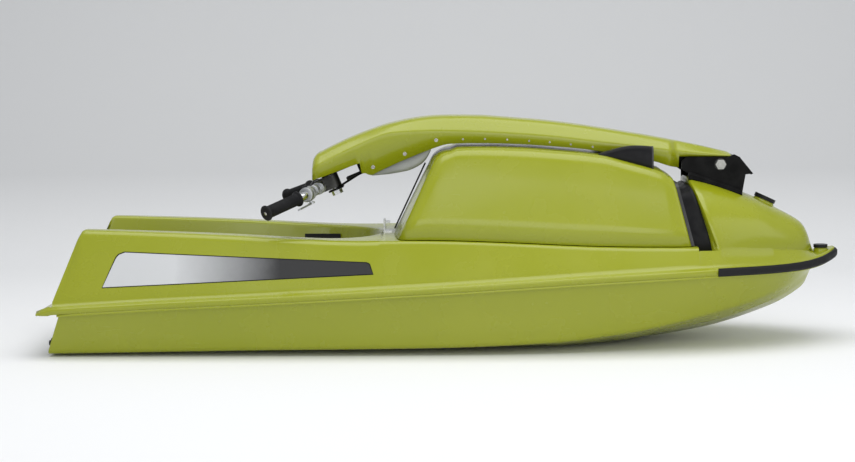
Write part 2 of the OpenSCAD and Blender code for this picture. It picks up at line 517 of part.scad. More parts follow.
// ---- Handle pole ----
pole_rear = -355;
pole_front = 752;
function pole_w(x) = mix(mix(pole_half, pole_half - 12, clamp01((x - pole_rear) / 930)), arm_half,
    clamp01((x - 584) / 25));
function pole_section(x, inset) = let (
        w = pole_w(x) - inset, zu = pole_under(x), zt = max(curve(pole_top_line, x) - inset * 0.7, zu + 5),
        zc = min(max(curve(pole_crease_line, x) - inset * 0.7, zu + 2), zt - 2), r = zt - zc)
    [[w, zu], [w - 1, mix(zu, zc, 0.5)], [w - 2, zc], [w - 9, zc + 0.42 * r], [w - 24, zc + 0.8 * r],
        [w - 42, zc + 0.97 * r], [w * 0.25, zt], [0, zt]];
pole_stations = [-340, -325, -300, -265, -224, -208, -190, -165, -130, -90, -50, -15, 20, 80, 150, 220,
    290, 360, 430, 500, 550, 584, 597, 609, 614, 640, 680, 715, 740];
pole_cells = concat(
    [[for (p = pole_section(pole_rear + 6, 8)) [X(pole_rear + 4), p[0], pole_under(pole_rear + 6)]]],
    [[for (p = pole_section(pole_rear + 3, 14)) [X(pole_rear), p[0], max(p[1], 446)]]],
    [[for (p = pole_section(pole_rear + 8, 4)) [X(pole_rear + 4), p[0], p[1]]]],
    [for (x = pole_stations) placed(x, pole_section(x, 0))],
    [placed(748, pole_section(748, 3)), placed(751, pole_section(751, 9))]);
module handle_pole() {
    outer = [for (row = pole_cells) both_sides(row)];
    color("yellowgreen") sheet(outer, moved_grid(outer, -pole_skin), all_cells(outer));
}
module pole_pan() {
    rows = [for (b = belly_line) let (w = pole_w(b[0]) - 9, top = pole_under(b[0]) + 9)
        both_sides([for (p = [[w, top], [w, b[1] + 8], [w - 10, b[1]], [w * 0.4, b[1] - 1], [0, b[1] - 1]])
            [X(b[0]), p[0], p[1]]])];
    color("#b9bbb8") sheet(moved_grid(rows, -3), rows, all_cells(rows));
}
module pole_yoke() color("#55585b") translate([X(pivot_x), 0, pivot_z]) difference() {
    union() {
        for (y = [-34, 40]) translate([0, y, 0]) rotate([90, 0, 0]) linear_extrude(6) union() {
            polygon([[-160, 14], [-160, 56], [-60, 40], [10, 26], [24, 18], [18, -8], [-8, -16], [-40, 0]]);
            circle(d = 36);
        }
        for (side = [-1, 1]) translate([0, side * 49.5, 0]) rotate([90, 0, 0]) cylinder(h = 21, d = 30, center = true);
        translate([-150, -35, 14]) cube([12, 70, 5]);
    }
    rotate([90, 0, 0]) cylinder(h = 140, d = bolt_d + 2 * bolt_clear, center = true);
}

// ---- Steering: the stem stands square to the handlebar's plane ----
stem_z = 430;
stem_d = 18;
stem_x = -300;
module on_bar() translate([X(stem_x), 0, stem_z]) rotate([0, -bar_tilt, 0]) children();
function heading(a, b) = (b - a) / norm(b - a);
function turn_at(p, i) = let (u = heading(p[i - 1], p[i]), v = heading(p[i], p[i + 1]))
    atan2(u.x * v.y - u.y * v.x, u * v);
module rod(a, b, d) let (v = b - a, l = norm(v))
    translate(a) rotate([0, acos(v.z / l), atan2(v.y, v.x)]) cylinder(h = l, d = d);
// A flat path's corners bent to radius r
function bent(p, r) = [for (i = [0:len(p) - 1]) each i == 0 || i == len(p) - 1 ? [p[i]] : let (
    t = turn_at(p, i), u = heading(p[i - 1], p[i]), s = p[i] - u * r * tan(abs(t) / 2),
    c = s + r * sign(t) * [-u.y, u.x])
    [for (k = [0:4]) let (a = t * k / 4, q = s - c)
        c + [q.x * cos(a) - q.y * sin(a), q.x * sin(a) + q.y * cos(a)]]];
// A round tube of diameter d along a flat path p
module tube_along(p, d, sides = 24) {
    n = len(p);
    points = [for (i = [0:n - 1]) let (h = heading(p[max(i - 1, 0)], p[min(i + 1, n - 1)]))
        for (k = [0:sides - 1]) let (a = 360 * k / sides)
            [p[i].x - h.y * cos(a) * d / 2, p[i].y + h.x * cos(a) * d / 2, sin(a) * d / 2]];
    faces = concat([for (i = [0:n - 2]) for (k = [0:sides - 1]) let (k2 = (k + 1) % sides)
            each two_triangles(i * sides + k, i * sides + k2, (i + 1) * sides + k2, (i + 1) * sides + k)],
        [[for (k = [sides - 1:-1:0]) k], [for (k = [0:sides - 1]) (n - 1) * sides + k]]);
    polyhedron(points, faces);
}
module steering_mount() color("#5c5f62") on_bar() {
    for (n = [-25, 20]) difference() {
        translate([-20, -28, n]) cube([104, 56, 5]);
        translate([0, 0, n - 1]) cylinder(h = 7, d = stem_d);
    }
    translate([80, -60, -25]) cube([5, 120, 50]);
}
module steering_stem() color("#bfc2c4") on_bar() {
    translate([0, 0, -30]) cylinder(h = 60, d = stem_d);
    for (n = [-37, 25]) translate([0, 0, n]) cylinder(h = 12, d = 30, $fn = 6);
}
module control_cables() color("#1a1a1c") for (side = [-1, 1]) translate([0, side * 20, 0]) rotate([90, 0, 0])
    tube_along(bent([[X(-262), 437], [X(-214), 457], [X(-20), 552], [X(290), 545], [X(560), 505]], 120), 8, 16);
bend_in = [-28, 50];
bend_out = [-66, bar_width / 2 - 100];
bar_end = [-157, bar_width / 2 - 7];
grip_dir = (bar_end - bend_out) / norm(bar_end - bend_out);
module handlebar_tube() color("#c4c7c9") on_bar() tube_along(bent([
    [bar_end.x, -bar_end.y], [bend_out.x, -bend_out.y],
    [bend_in.x, -bend_in.y], bend_in, bend_out, bar_end], 45), bar_d);
module bar_clamp() color("#8d9093") on_bar() difference() {
    union() {
        translate([-46, -19, -18]) cube([48, 38, 36]);
        translate([0, 0, -18]) cylinder(h = 36, d = 38);
    }
    translate([0, 0, -20]) cylinder(h = 40, d = stem_d + 2 * bolt_clear);
    rotate([90, 0, 0]) translate([bend_in.x, 0, 0]) cylinder(h = 60, d = bar_d, center = true);
}
module grip(side) color("#121214") on_bar() difference() {
    union() {
        a = [bar_end.x, side * bar_end.y, 0];
        d = [grip_dir.x, side * grip_dir.y, 0];
        rod(a + d * 4, a - d * (grip_length - 4), grip_d);
        rod(a + d * 7, a + d * 2, grip_d + 8);
        rod(a - d * (grip_length - 10), a - d * (grip_length - 4), grip_d + 8);
    }
    rod([bend_out.x, side * bend_out.y, 0], [bar_end.x, side * bar_end.y, 0], bar_d);
}
module grip_right() grip(-1);
module grip_left() grip(1);
function on_tube(side, y) = let (u = (y - bend_in.y) / (bend_out.y - bend_in.y))
    [mix(bend_in.x, bend_out.x, u), side * y, 0];
module collar(side, y0, y1, d) difference() {
    rod(on_tube(side, y0), on_tube(side, y1), d);
    rod(on_tube(side, bend_in.y), on_tube(side, bend_out.y), bar_d);
}
module throttle_housing() color("#1b1b1d") on_bar() {
    collar(-1, bend_out.y - 44, bend_out.y - 12, 38);
}
module throttle_lever() color("#a9acae") on_bar()
    translate([on_tube(-1, bend_out.y - 28).x, -bend_out.y + 28, -28]) {
    cylinder(h = 5, d = 18);
    cylinder(h = 11, d = 9);
    rotate([0, 0, -112]) translate([0, -5, 0]) cube([74, 10, 4]);
}
module stop_switch() color("#1b1b1d") on_bar() {
    collar(1, bend_out.y - 40, bend_out.y - 14, 34);
    translate(on_tube(1, bend_out.y - 27) + [0, 0, 15]) cylinder(h = 9, d = 12);
}

hull();
deck();
bow_bumper();
engine_hood();
hood_seal();
hood_scoop_right();
hood_scoop_left();
hood_strap();
strap_catch();
tray_mat();
label_plate();
engine_block();
fuel_cap();
bow_button();
pole_bracket();
pivot_bolt();
pump_tunnel();
ride_plate();
intake_grate();
pump_housing();
pump_outlet();
exhaust_outlet();
drain_plugs();
impeller();
drive_shaft();
steering_nozzle();
nozzle_arm();
handle_pole();
pole_pan();
pole_yoke();
steering_mount();
steering_stem();
control_cables();
handlebar_tube();
bar_clamp();
grip_right();
grip_left();
throttle_housing();
throttle_lever();
stop_switch();
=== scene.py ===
import math

import bmesh
import bpy
import numpy as np
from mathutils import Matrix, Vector
from mathutils.bvhtree import BVHTree


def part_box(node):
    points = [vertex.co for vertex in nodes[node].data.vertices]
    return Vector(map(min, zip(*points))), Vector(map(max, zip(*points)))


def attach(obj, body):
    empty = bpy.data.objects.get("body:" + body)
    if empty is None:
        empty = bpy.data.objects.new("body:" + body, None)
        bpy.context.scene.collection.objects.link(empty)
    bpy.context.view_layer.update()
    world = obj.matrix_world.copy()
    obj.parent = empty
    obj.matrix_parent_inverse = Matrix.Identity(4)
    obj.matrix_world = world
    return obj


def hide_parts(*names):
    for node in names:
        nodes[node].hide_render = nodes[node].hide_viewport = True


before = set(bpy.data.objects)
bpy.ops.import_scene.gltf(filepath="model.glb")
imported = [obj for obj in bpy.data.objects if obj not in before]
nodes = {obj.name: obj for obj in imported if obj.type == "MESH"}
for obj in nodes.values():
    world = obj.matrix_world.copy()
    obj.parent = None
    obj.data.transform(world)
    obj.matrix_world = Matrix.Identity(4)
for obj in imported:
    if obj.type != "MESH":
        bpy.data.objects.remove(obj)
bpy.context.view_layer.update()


# Hull: the lower moulding, laid up in glass fibre with a lime gelcoat. Its sides fall from the
# bonding flange to a hard chine, and the flat pad aft turns into a shallow V towards the bow.
# Sizes are in millimetres: x from amidships to the bow, y to port, z up from the pad.


def through(points):
    """A smooth curve through a few points, held level past both ends."""
    xs = np.array([p[0] for p in points], float)
    vs = np.array([p[1] for p in points], float)
    ahead = np.minimum(np.arange(len(xs)) + 1, len(xs) - 1)
    behind = np.maximum(np.arange(len(xs)) - 1, 0)
    slopes = (vs[ahead] - vs[behind]) / (xs[ahead] - xs[behind])

    def value(x):
        i = int(np.clip(np.searchsorted(xs, x, side="right") - 1, 0, len(xs) - 2))
        h = xs[i + 1] - xs[i]
        u = min(max((x - xs[i]) / h, 0.0), 1.0)
        return float(
            (2 * u**3 - 3 * u**2 + 1) * vs[i]
            + (u**3 - 2 * u**2 + u) * h * slopes[i]
            + (3 * u**2 - 2 * u**3) * vs[i + 1]
            + (u**3 - u**2) * h * slopes[i + 1]
        )

    return value


def share(x, start, end):
    """How far x is from start to end, as 0 to 1."""
    return min(max((x - start) / (end - start), 0.0), 1.0)


def mixed(a, b, u):
    """The value that is the share u of the way from a to b."""
    return a + (b - a) * u


def rounded(corners, steps=6):
    """An open outline whose corners (y, z, radius) are each replaced by a small curve."""
    out = []
    for i, (y, z, radius) in enumerate(corners):
        here = np.array([y, z], float)
        if i in (0, len(corners) - 1):
            out.append(here)
            continue
        to_last = np.array(corners[i - 1][:2], float) - here
        to_next = np.array(corners[i + 1][:2], float) - here
        last_length = np.linalg.norm(to_last) + 1e-9
        next_length = np.linalg.norm(to_next) + 1e-9
        reach = min(radius, 0.46 * last_length, 0.46 * next_length)
        a = here + to_last / last_length * reach
        b = here + to_next / next_length * reach
        for k in range(steps):
            t = k / (steps - 1)
            out.append((1 - t) ** 2 * a + 2 * t * (1 - t) * here + t**2 * b)
    return out


def both_halves(half):
    """A half section from the starboard edge to the centre line, carried on to the port edge."""
    starboard = [(x, -y, z) for x, y, z in half]
    return starboard + [(x, y, z) for x, y, z in half[-2::-1]]


def merge_loose(piece, smooth_angle=38):
    """Closes seams and poles, and smooths every edge that is flatter than the angle, in degrees."""
    work = bmesh.new()
    work.from_mesh(piece.data)
    bmesh.ops.remove_doubles(work, verts=work.verts, dist=0.00005)
    bmesh.ops.dissolve_degenerate(work, dist=0.00005, edges=work.edges)
    loose = [v for v in work.verts if not v.link_faces]
    bmesh.ops.delete(work, geom=loose, context="VERTS")
    for face in work.faces:
        face.smooth = True
    limit = math.radians(smooth_angle)
    for edge in work.edges:
        edge.smooth = len(edge.link_faces) < 2 or edge.calc_face_angle(0) < limit
    work.to_mesh(piece.data)
    work.free()


def piece_from(name, mesh, material, smooth_angle=38):
    """Makes a mesh an object of the scene, with its finish, closed seams and smooth flat edges."""
    if not mesh.materials:
        mesh.materials.append(material)
    piece = bpy.data.objects.new(name, mesh)
    bpy.context.scene.collection.objects.link(piece)
    merge_loose(piece, smooth_angle)
    return piece


def hand_over(piece, body, replaced=()):
    """Says which body the piece rides on, and hides the nodes it stands for."""
    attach(piece, body)
    if replaced:
        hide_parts(*replaced)
    return piece


def skin(name, rows, body, material, replaced=(), wall=0.005, skip=None, upper=True):
    """A moulded skin: sections joined by quads, given its wall inwards. Rows are in millimetres."""
    grid = np.array(rows, float) / 1000.0
    n, m = grid.shape[:2]
    faces = []
    for i in range(n - 1):
        for j in range(m - 1):
            if skip and skip(i, j):
                continue
            quad = (i * m + j, i * m + j + 1, (i + 1) * m + j + 1, (i + 1) * m + j)
            faces.append(quad[::-1] if upper else quad)
    mesh = bpy.data.meshes.new(name)
    mesh.from_pydata([tuple(point) for point in grid.reshape(-1, 3)], [], faces)
    piece = piece_from(name, mesh, material)
    if wall:
        solid = piece.modifiers.new("wall", "SOLIDIFY")
        solid.thickness = wall
        solid.offset = -1
    return hand_over(piece, body, replaced)


class Finish:
    """A surface finish, built node by node on a Principled shader."""

    def __init__(self, name, roughness=0.4, metallic=0.0, **uniform):
        self.material = bpy.data.materials.new(name)
        self.material.use_nodes = True
        self.tree = self.material.node_tree
        self.shader = self.tree.nodes["Principled BSDF"]
        self.shader.inputs["Roughness"].default_value = roughness
        self.shader.inputs["Metallic"].default_value = metallic
        for key, value in uniform.items():
            self.shader.inputs[key.replace("_", " ")].default_value = value
        self.place = self.add("ShaderNodeTexCoord").outputs["Object"]

    def add(self, kind, **settings):
        node = self.tree.nodes.new(kind)
        for key, value in settings.items():
            setattr(node, key, value)
        return node

    def feed(self, socket, value):
        if hasattr(value, "is_output"):
            self.tree.links.new(value, socket)
        else:
            socket.default_value = value

    def noise(self, scale, detail=3.0, roughness=0.55, stretch=(1, 1, 1)):
        node = self.add("ShaderNodeTexNoise")
        self.feed(node.inputs["Scale"], scale)
        self.feed(node.inputs["Detail"], detail)
        self.feed(node.inputs["Roughness"], roughness)
        source = self.place
        if stretch != (1, 1, 1):
            mapping = self.add("ShaderNodeMapping")
            mapping.inputs["Scale"].default_value = stretch
            self.feed(mapping.inputs["Vector"], self.place)
            source = mapping.outputs["Vector"]
        self.feed(node.inputs["Vector"], source)
        return node.outputs["Fac"]

    def spread(self, value, low, high, start=0.35, end=0.65):
        node = self.add("ShaderNodeMapRange")
        for key, number in (("From Min", start), ("From Max", end), ("To Min", low), ("To Max", high)):
            node.inputs[key].default_value = number
        self.feed(node.inputs["Value"], value)
        return node.outputs["Result"]

    def sum(self, a, b, operation="ADD"):
        node = self.add("ShaderNodeMath", operation=operation)
        self.feed(node.inputs[0], a)
        self.feed(node.inputs[1], b)
        return node.outputs["Value"]

    def blend(self, factor, a, b):
        node = self.add("ShaderNodeMix", data_type="RGBA")
        self.feed(node.inputs["Factor"], factor)
        self.feed(node.inputs["A"], a)
        self.feed(node.inputs["B"], b)
        return node.outputs["Result"]

    def colour(self, value):
        self.feed(self.shader.inputs["Base Color"], value)
        return self

    def rough(self, value):
        self.feed(self.shader.inputs["Roughness"], value)
        return self

    def bump(self, height, strength, depth):
        node = self.add("ShaderNodeBump")
        node.inputs["Strength"].default_value = strength
        node.inputs["Distance"].default_value = depth
        self.feed(node.inputs["Height"], height)
        self.feed(self.shader.inputs["Normal"], node.outputs["Normal"])
        return self

    def edges(self):
        """1 on outer edges and corners, 0 on flats and in hollows."""
        pointiness = self.add("ShaderNodeNewGeometry").outputs["Pointiness"]
        return self.spread(pointiness, 0.0, 1.0, 0.505, 0.56)


def gelcoat_finish(name, lime=(0.282, 0.315, 0.005, 1), faded=(0.305, 0.333, 0.012, 1)):
    """Sun-faded lime gelcoat: cloudy colour, long fine scuffs and a slight orange peel."""
    finish = Finish(name, roughness=0.28, Coat_Weight=0.3, Coat_Roughness=0.12, Specular_IOR_Level=0.45)
    cloud = finish.spread(finish.noise(2.3, 4), 0, 1, 0.3, 0.7)
    fine = finish.noise(900, 2)
    scuffs = finish.spread(finish.noise(70, 5, 0.7, (0.12, 1, 1)), 0, 1, 0.6, 0.75)
    finish.colour(finish.blend(cloud, lime, faded))
    sheen = finish.spread(finish.noise(9, 4), 0.2, 0.32)
    finish.rough(finish.sum(sheen, finish.sum(scuffs, 0.07, "MULTIPLY")))
    finish.bump(finish.sum(finish.noise(260, 2), finish.sum(fine, 0.3, "MULTIPLY")), 0.05, 0.0006)
    return finish.material


gelcoat = gelcoat_finish("gelcoat")

length_half, beam_half = 1042.5, 307.5
bumper_thick = 9.3
nose_x = length_half - bumper_thick
stem_x = 969
flange_reach, flange_thick = 26.0, 5
stern_rounding, stern_inset = 14, 10
sheer = through([(-1042, 112), (-750, 129), (-500, 141), (0, 167), (400, 189), (690, 198), (900, 200),
                 (980, 208), (1042, 226)])
keel = through([(-1042, 0), (430, 0), (519, 4), (680, 30), (760, 51), (840, 79), (893, 102), (946, 137),
                (960, 155), (969, 180)])
chine = through([(-1042, 7), (-500, 16), (0, 21), (300, 33), (400, 44), (523, 60), (651, 85), (792, 117),
                 (870, 142), (921, 163), (950, 178), (969, 186)])
chine_half = through([(-1042, 236), (-500, 254), (0, 262), (250, 255), (400, 238), (523, 215),
                      (651, 181), (792, 132), (870, 97), (921, 66), (950, 42), (969, 16)])


def flange_half(x):
    """Half the width over the flange: nearly parallel aft, then one long round bow."""
    if x < 0:
        half = beam_half * (0.9 + 0.1 * math.sin(math.pi / 2 * (1 + x / length_half)))
    else:
        half = beam_half * max(0.0, 1 - share(x, 0, nose_x + 4.5) ** 3) ** 0.7
    return half - stern_inset * max(0.0, 1 - (x + length_half) / stern_rounding)


corner_sweep, transom_rake, transom_top = 17, 0.17, 111


def transom_lean(x, y, z):
    """How far the stern's skin moves forward: it slopes, and its outer corners are swept at the top."""
    swept = share(y, 205, 250) * share(z, 30, 112) * corner_sweep
    return (swept - (transom_top - z) * transom_rake) * share(x, -960, -1002)


def hull_section(x):
    """Flange, side, chine, bottom and pad. Ahead of the stem only the flange is left."""
    w, z = flange_half(x), sheer(x) - 0.5
    bare = x > stem_x
    root = max(w - flange_reach, 3)
    low = z - flange_thick if bare else min(chine(x), z - 6)
    chine_w = root * 0.8 if bare else min(chine_half(x), root - 1)
    keel_z = z - flange_thick if bare else keel(x)
    pad = min(112, chine_w * 0.55)
    rise = 0 if bare else share(x, 300, 550) * 0.45
    corners = [(w, z, 0), (w, z - flange_thick, 2), (root, z - flange_thick, 6), (chine_w, low, 12),
               (pad, mixed(keel_z, low, rise), 30),
               (min(88, pad * 0.8), mixed(keel_z, low, rise * 0.8), 4), (0, keel_z, 0)]
    return both_halves([(x + transom_lean(x, y, z), y, z) for y, z in rounded(corners, 5)])


hull_stations = ([-1002.0, -1001, -999, -990, -975] + list(np.arange(-950, 420, 24.0)) + [-450.0]
                 + list(np.arange(420, 955, 12.0)) + [955, 960, 965, stem_x, 970]
                 + [nose_x - d for d in (55, 45, 36, 28, 20, 13, 8, 4)])
hull_stations = sorted(set(hull_stations))
hull_rows = [hull_section(x) for x in hull_stations]
tunnel_half, tunnel_front = 88.5, -451
aft_row = hull_rows[20]
tunnel_columns = [j for j in range(len(aft_row) - 1)
                  if abs(aft_row[j][1]) < tunnel_half and abs(aft_row[j + 1][1]) < tunnel_half]
skin("hull_skin", hull_rows, "craft", gelcoat, ["hull"], wall=0.006, upper=False,
     skip=lambda i, j: hull_stations[i] < tunnel_front and j in tunnel_columns)


# Deck: the upper moulding, one piece of glass fibre bonded to the hull at the flange. It carries the
# gunwales, the standing tray, the lip under the hood and the bow cowl, all in the same lime gelcoat.
tray_half, tray_bend, tray_front = 178.0, -330.0, -168.0
floor_front, floor_rise = -222.0, 26
side_foot, side_round = 22, 9
opening = (-95.0, 612.0)
groove, groove_depth = (648.0, 684.0), 13.0
cowl_rear, cowl_lean, cowl_tip = 628.0, 76, 971
shoulder = through([(-1042, 316), (-935, 316), (-750, 310), (-550, 301), (-370, 290), (-243, 285),
                    (-40, 285), (138, 279), (391, 266), (632, 259), (806, 255), (924, 246), (971, 238),
                    (1042, 250)])
cowl_top = through([(560, 457), (602, 447), (700, 424), (792, 392), (837, 373), (872, 354), (917, 330),
                    (944, 311), (957, 291), (966, 268), (971, 250)])
cowl_half = through([(600, 222), (680, 203), (806, 152), (870, 117), (924, 80), (950, 54), (965, 28),
                     (971, 10)])


def shoulder_half(x):
    """Half the width at the shoulder, where the side turns over into the deck."""
    plain = flange_half(x) - 18 - mixed(35, 24, share(x, -200, 600))
    return plain if x < 600 else mixed(plain, cowl_half(x), share(x, 600, 680))


def tray_at(x, level):
    """Half the tray's width at a level from floor (0) to rim (1): straight aft, round at the front."""
    front = mixed(floor_front, tray_front, level)
    half = tray_half - 12 * (1 - level)
    if x < tray_bend:
        return half
    return half * math.sqrt(max(0.0, 1 - ((x - tray_bend) / (front - tray_bend)) ** 2))


def side_corners(x):
    """Flange face, its sloping top and the foot of the side, as corners with radii."""
    w, z = flange_half(x), sheer(x)
    return [(w, z, 0), (w, z + 14, 3.5), (w - 18, z + side_foot, 9)]


def tray_section(x):
    """Half a section through gunwale and tray, whose floor rises to the rim at the tray's front."""
    sw, top = shoulder_half(x), shoulder(x) + side_round
    floor_z = sheer(x) + floor_rise
    risen = share(x, floor_front, tray_front)
    rim, foot = max(tray_at(x, 1), 5), max(tray_at(x, mixed(risen, 1, 0.08)), 3)
    middle = mixed(floor_z, top, risen)
    corners = side_corners(x) + [(sw - 1, top, 17), (rim, top, 9 if x < tray_front - 8 else 3),
                                 (foot, mixed(floor_z, top, mixed(risen, 1, 0.02)), 16),
                                 (foot * 0.5, middle, 1), (0, middle, 0)]
    return [(x, y, z) for y, z in rounded(corners)]


def lip_section(x):
    """Half a section through the side deck and the lip that the hood drops over."""
    sw, z = shoulder_half(x), shoulder(x) + 8.6
    wo = sw - 46
    corners = side_corners(x) + [(sw - 1, z, 11), (wo, z, 9), (wo * 0.66, z, 16), (wo * 0.33, z, 1),
                                 (0, z, 0)]
    return [(x, y, z) for y, z in rounded(corners)]


half_columns = len(lip_section(0))


def groove_section(x):
    """Half a section through the sunk gutter ahead of the hood."""
    sw, z = shoulder_half(x), shoulder(x) - groove_depth
    side = [(x, y, h) for y, h in rounded(side_corners(x) + [(sw, z + groove_depth, 11)])]
    inner = half_columns - len(side)
    return side + [(x, sw * (1 - (k + 1) / inner) if k else sw * 0.985, z) for k in range(inner)]


def cowl_section(xt, inset=0.0):
    """Half an arch of the bow cowl: its top is at xt, and its foot leans forward of that."""
    xb = min(xt + cowl_lean * share(xt, 800, 602), cowl_tip)
    sw, sz = max(cowl_half(xb), 8), shoulder(xb)
    zt = max(cowl_top(xt), sz + 2)
    side = [(xb, y, z) for y, z in rounded(side_corners(xb) + [(sw, sz, 11)])]
    count = half_columns - len(side)
    arch = []
    for k in range(count):
        turn = math.pi / 2 * (k + 0.35) / (count - 0.65)
        z = sz + (zt - sz - inset) * math.sin(turn) ** 0.8
        y = (sw - inset) * max(math.cos(turn), 0) ** 0.8
        arch.append((mixed(xb, xt, (z - sz) / (zt - sz)), y if k < count - 1 else 0.0, z))
    return side + arch


def nose_section(x):
    """Half a section through the flat tip of the deck, ahead of the cowl."""
    w, z = flange_half(x), sheer(x)
    side = [(x, y, h) for y, h in rounded([(w, z, 0), (w, z + 14, 3.5), (w * 0.84, z + side_foot, 9),
                                           (w * 0.76, z + 23, 3)])]
    count = half_columns - len(side)
    return side + [(x, w * 0.74 * (1 - (k + 1) / count), z + 23) for k in range(count)]


gunwale_end_x = -925.0
flange_points, end_rings = 13, 4


def end_x(z):
    """The gunwale's end slopes: its top stands further forward than its foot."""
    return -931 - 82 * share(z, 316, 136)


def gunwale_end(step):
    """Rings that round the gunwale's sloping end. Step 0 is the innermost, on the end face."""
    turn = math.pi / 2 * step / (end_rings - 1)
    foot_x = -1000 + 25 * step
    flange = tray_section(foot_x)[:flange_points]
    out = list(flange)
    for x, y, z in tray_section(gunwale_end_x)[flange_points:]:
        drop = 9 * (1 - math.sin(turn)) * share(z, 150, 210)
        back_x = end_x(z - drop) + 10 * (1 - math.cos(turn)) + step * 0.6
        facet = 0.28 * max(0.0, -952 - back_x) if y > 190 else 0.0
        out.append((back_x, y - 0.5 * drop * share(z, 145, 165) - facet, z - drop))
    return out


def end_crease():
    """The upright crease where the side turns in towards the gunwale's end."""
    return [(max(end_x(z) + 12.5, -950.0) if k >= flange_points else gunwale_end_x, y, z)
            for k, (x, y, z) in enumerate(tray_section(gunwale_end_x))]


def stern_edge(step):
    """The flange's rounded edge across the transom, in three rings from the bottom up."""
    x = -length_half + [0, 14, 34][step]
    lift = [-9, -3, 4][step]
    w, z = flange_half(-length_half + 12 * step), sheer(-length_half)
    corners = [(w, z, 0), (w, z + 10 + lift, 3), (w - 14, z + 18 + lift, 5)]
    side = [(x, y, h) for y, h in rounded(corners)]
    left = half_columns - len(side)
    return side + [(x, side[-1][1] * (1 - (k + 1) / left), z + 14 + lift) for k in range(left)]


deck_rows, deck_open = [], []


def lay(section, is_open=False):
    """Adds the next section of the deck, going forward."""
    deck_rows.append(both_halves(section))
    deck_open.append(is_open)


def between(first, last, u):
    """The ring of points that is the share u of the way from one ring to another."""
    return [tuple(mixed(np.array(a), np.array(b), u)) for a, b in zip(first, last)]


for step in range(3):
    lay(stern_edge(step))
for step in range(end_rings):
    lay(gunwale_end(step))
lay(end_crease())
for start, end, pitch in ((-918, -345, 20.0), (-340, floor_front, 8.0), (floor_front, -167, 5.0)):
    for x in np.arange(start, end, pitch):
        lay(tray_section(float(x)))
for x in ([-164, -150, -130, -113, opening[0]] + list(np.arange(-75, 600, 25.0))
          + [opening[1], 625, 640, 645]):
    lay(lip_section(float(x)), opening[0] <= x < opening[1])
for x in groove:
    lay(groove_section(x))
cowl_face = cowl_section(cowl_rear, 14)
groove_floor = groove_section(groove[1])
for u in (0.35, 0.7):
    lay(between(groove_floor, cowl_face, u))
for inset, ahead in ((14, 0), (7, 2.0), (2.2, 6.5), (0, 14)):
    lay(cowl_section(cowl_rear + ahead, inset))
for x in (list(np.arange(650, 800, 14.0)) + list(np.arange(800, 920, 9.0))
          + [924, 932, 939, 945, 951, 956, 960, 964, 967]):
    lay(cowl_section(float(x)))
for d in (59, 52, 44, 36, 28, 20, 13, 7, 3, 0):
    lay(nose_section(nose_x - d))
columns = len(deck_rows[0])
lip_inner = 21


def over_opening(i, j):
    """True inside the lip, where the engine opening goes through the deck."""
    return deck_open[i] and deck_open[i + 1] and lip_inner <= j < columns - 1 - lip_inner


deck_skin = skin("deck_skin", deck_rows, "craft", gelcoat, ["deck"], wall=0.005, skip=over_opening)


# Filler boss and bow pedestal: raised rings moulded with the deck. The boss carries the fuel cap on
# the cowl's slope, and the pedestal carries the button over the bow eye.


def outward_faces(piece):
    """Turns every face of a closed piece outwards."""
    work = bmesh.new()
    work.from_mesh(piece.data)
    bmesh.ops.recalc_face_normals(work, faces=work.faces)
    work.to_mesh(piece.data)
    work.free()


def turned(name, profile, start, axis, body, material, replaced=(), sides=40):
    """A turned piece from (distance, radius) pairs along its axis, closed where the radius is 0."""
    start, axis = np.array(start, float), np.array(axis, float) / np.linalg.norm(axis)
    across = np.cross(axis, (0.0, 0.0, 1.0) if abs(axis[2]) < 0.9 else (1.0, 0.0, 0.0))
    across /= np.linalg.norm(across)
    third = np.cross(axis, across)
    points, faces = [], []
    for distance, radius in profile:
        for k in range(sides):
            turn = 2 * math.pi * k / sides
            spoke = across * math.cos(turn) + third * math.sin(turn)
            points.append(start + axis * distance + radius * spoke)
    for i in range(0, (len(profile) - 1) * sides, sides):
        for k in range(sides):
            k2 = (k + 1) % sides
            faces.append((i + k, i + k2, i + sides + k2, i + sides + k))
    mesh = bpy.data.meshes.new(name)
    mesh.from_pydata([tuple(point / 1000) for point in points], [], faces)
    piece = piece_from(name, mesh, material, 32)
    outward_faces(piece)
    return hand_over(piece, body, replaced)


cap_x, cap_tilt, button_x = 846, math.radians(25), 999
turned("filler_boss", [(-16, 0), (-16, 32), (-2, 30), (2, 27.5), (4, 26.5), (4, 0)],
       (cap_x, 0, cowl_top(cap_x)), (math.sin(cap_tilt), 0, math.cos(cap_tilt)), "craft", gelcoat)
turned("bow_pedestal", [(-3, 0), (-3, 19), (4, 18), (7.5, 16.5), (8.8, 15), (8.8, 0)],
       (button_x, 0, sheer(button_x) + side_foot), (0, 0, 1), "craft", gelcoat)


# Bow bumper, fuel cap and bow button: black rubber and plastic mouldings. The bumper is a strip
# stretched round the flange, the cap screws onto the filler neck, and the button closes the bow eye.


def black_finish(name, grey=(0.007, 0.007, 0.008, 1), dusty=(0.018, 0.018, 0.019, 1),
                 roughness=(0.42, 0.6), grain=420):
    """Black rubber or plastic: a fine grain, with dust in patches and pale worn edges."""
    finish = Finish(name, roughness=0.5, Specular_IOR_Level=0.12)
    patches = finish.spread(finish.noise(18, 5), 0, 1, 0.4, 0.7)
    finish.colour(finish.blend(finish.sum(patches, finish.edges(), "MAXIMUM"), grey, dusty))
    finish.rough(finish.spread(finish.noise(33, 4), *roughness))
    finish.bump(finish.noise(grain, 3), 0.14, 0.0007)
    return finish.material


def dress(node, material):
    """Gives a CAD node its finish."""
    mesh = nodes[node].data
    mesh.materials.clear()
    mesh.materials.append(material)


black_rubber = black_finish("black_rubber")
black_plastic = black_finish("black_plastic", roughness=(0.3, 0.46), grain=800)
dress("bow_bumper", black_rubber)
dress("fuel_cap", black_plastic)
dress("bow_button", black_plastic)


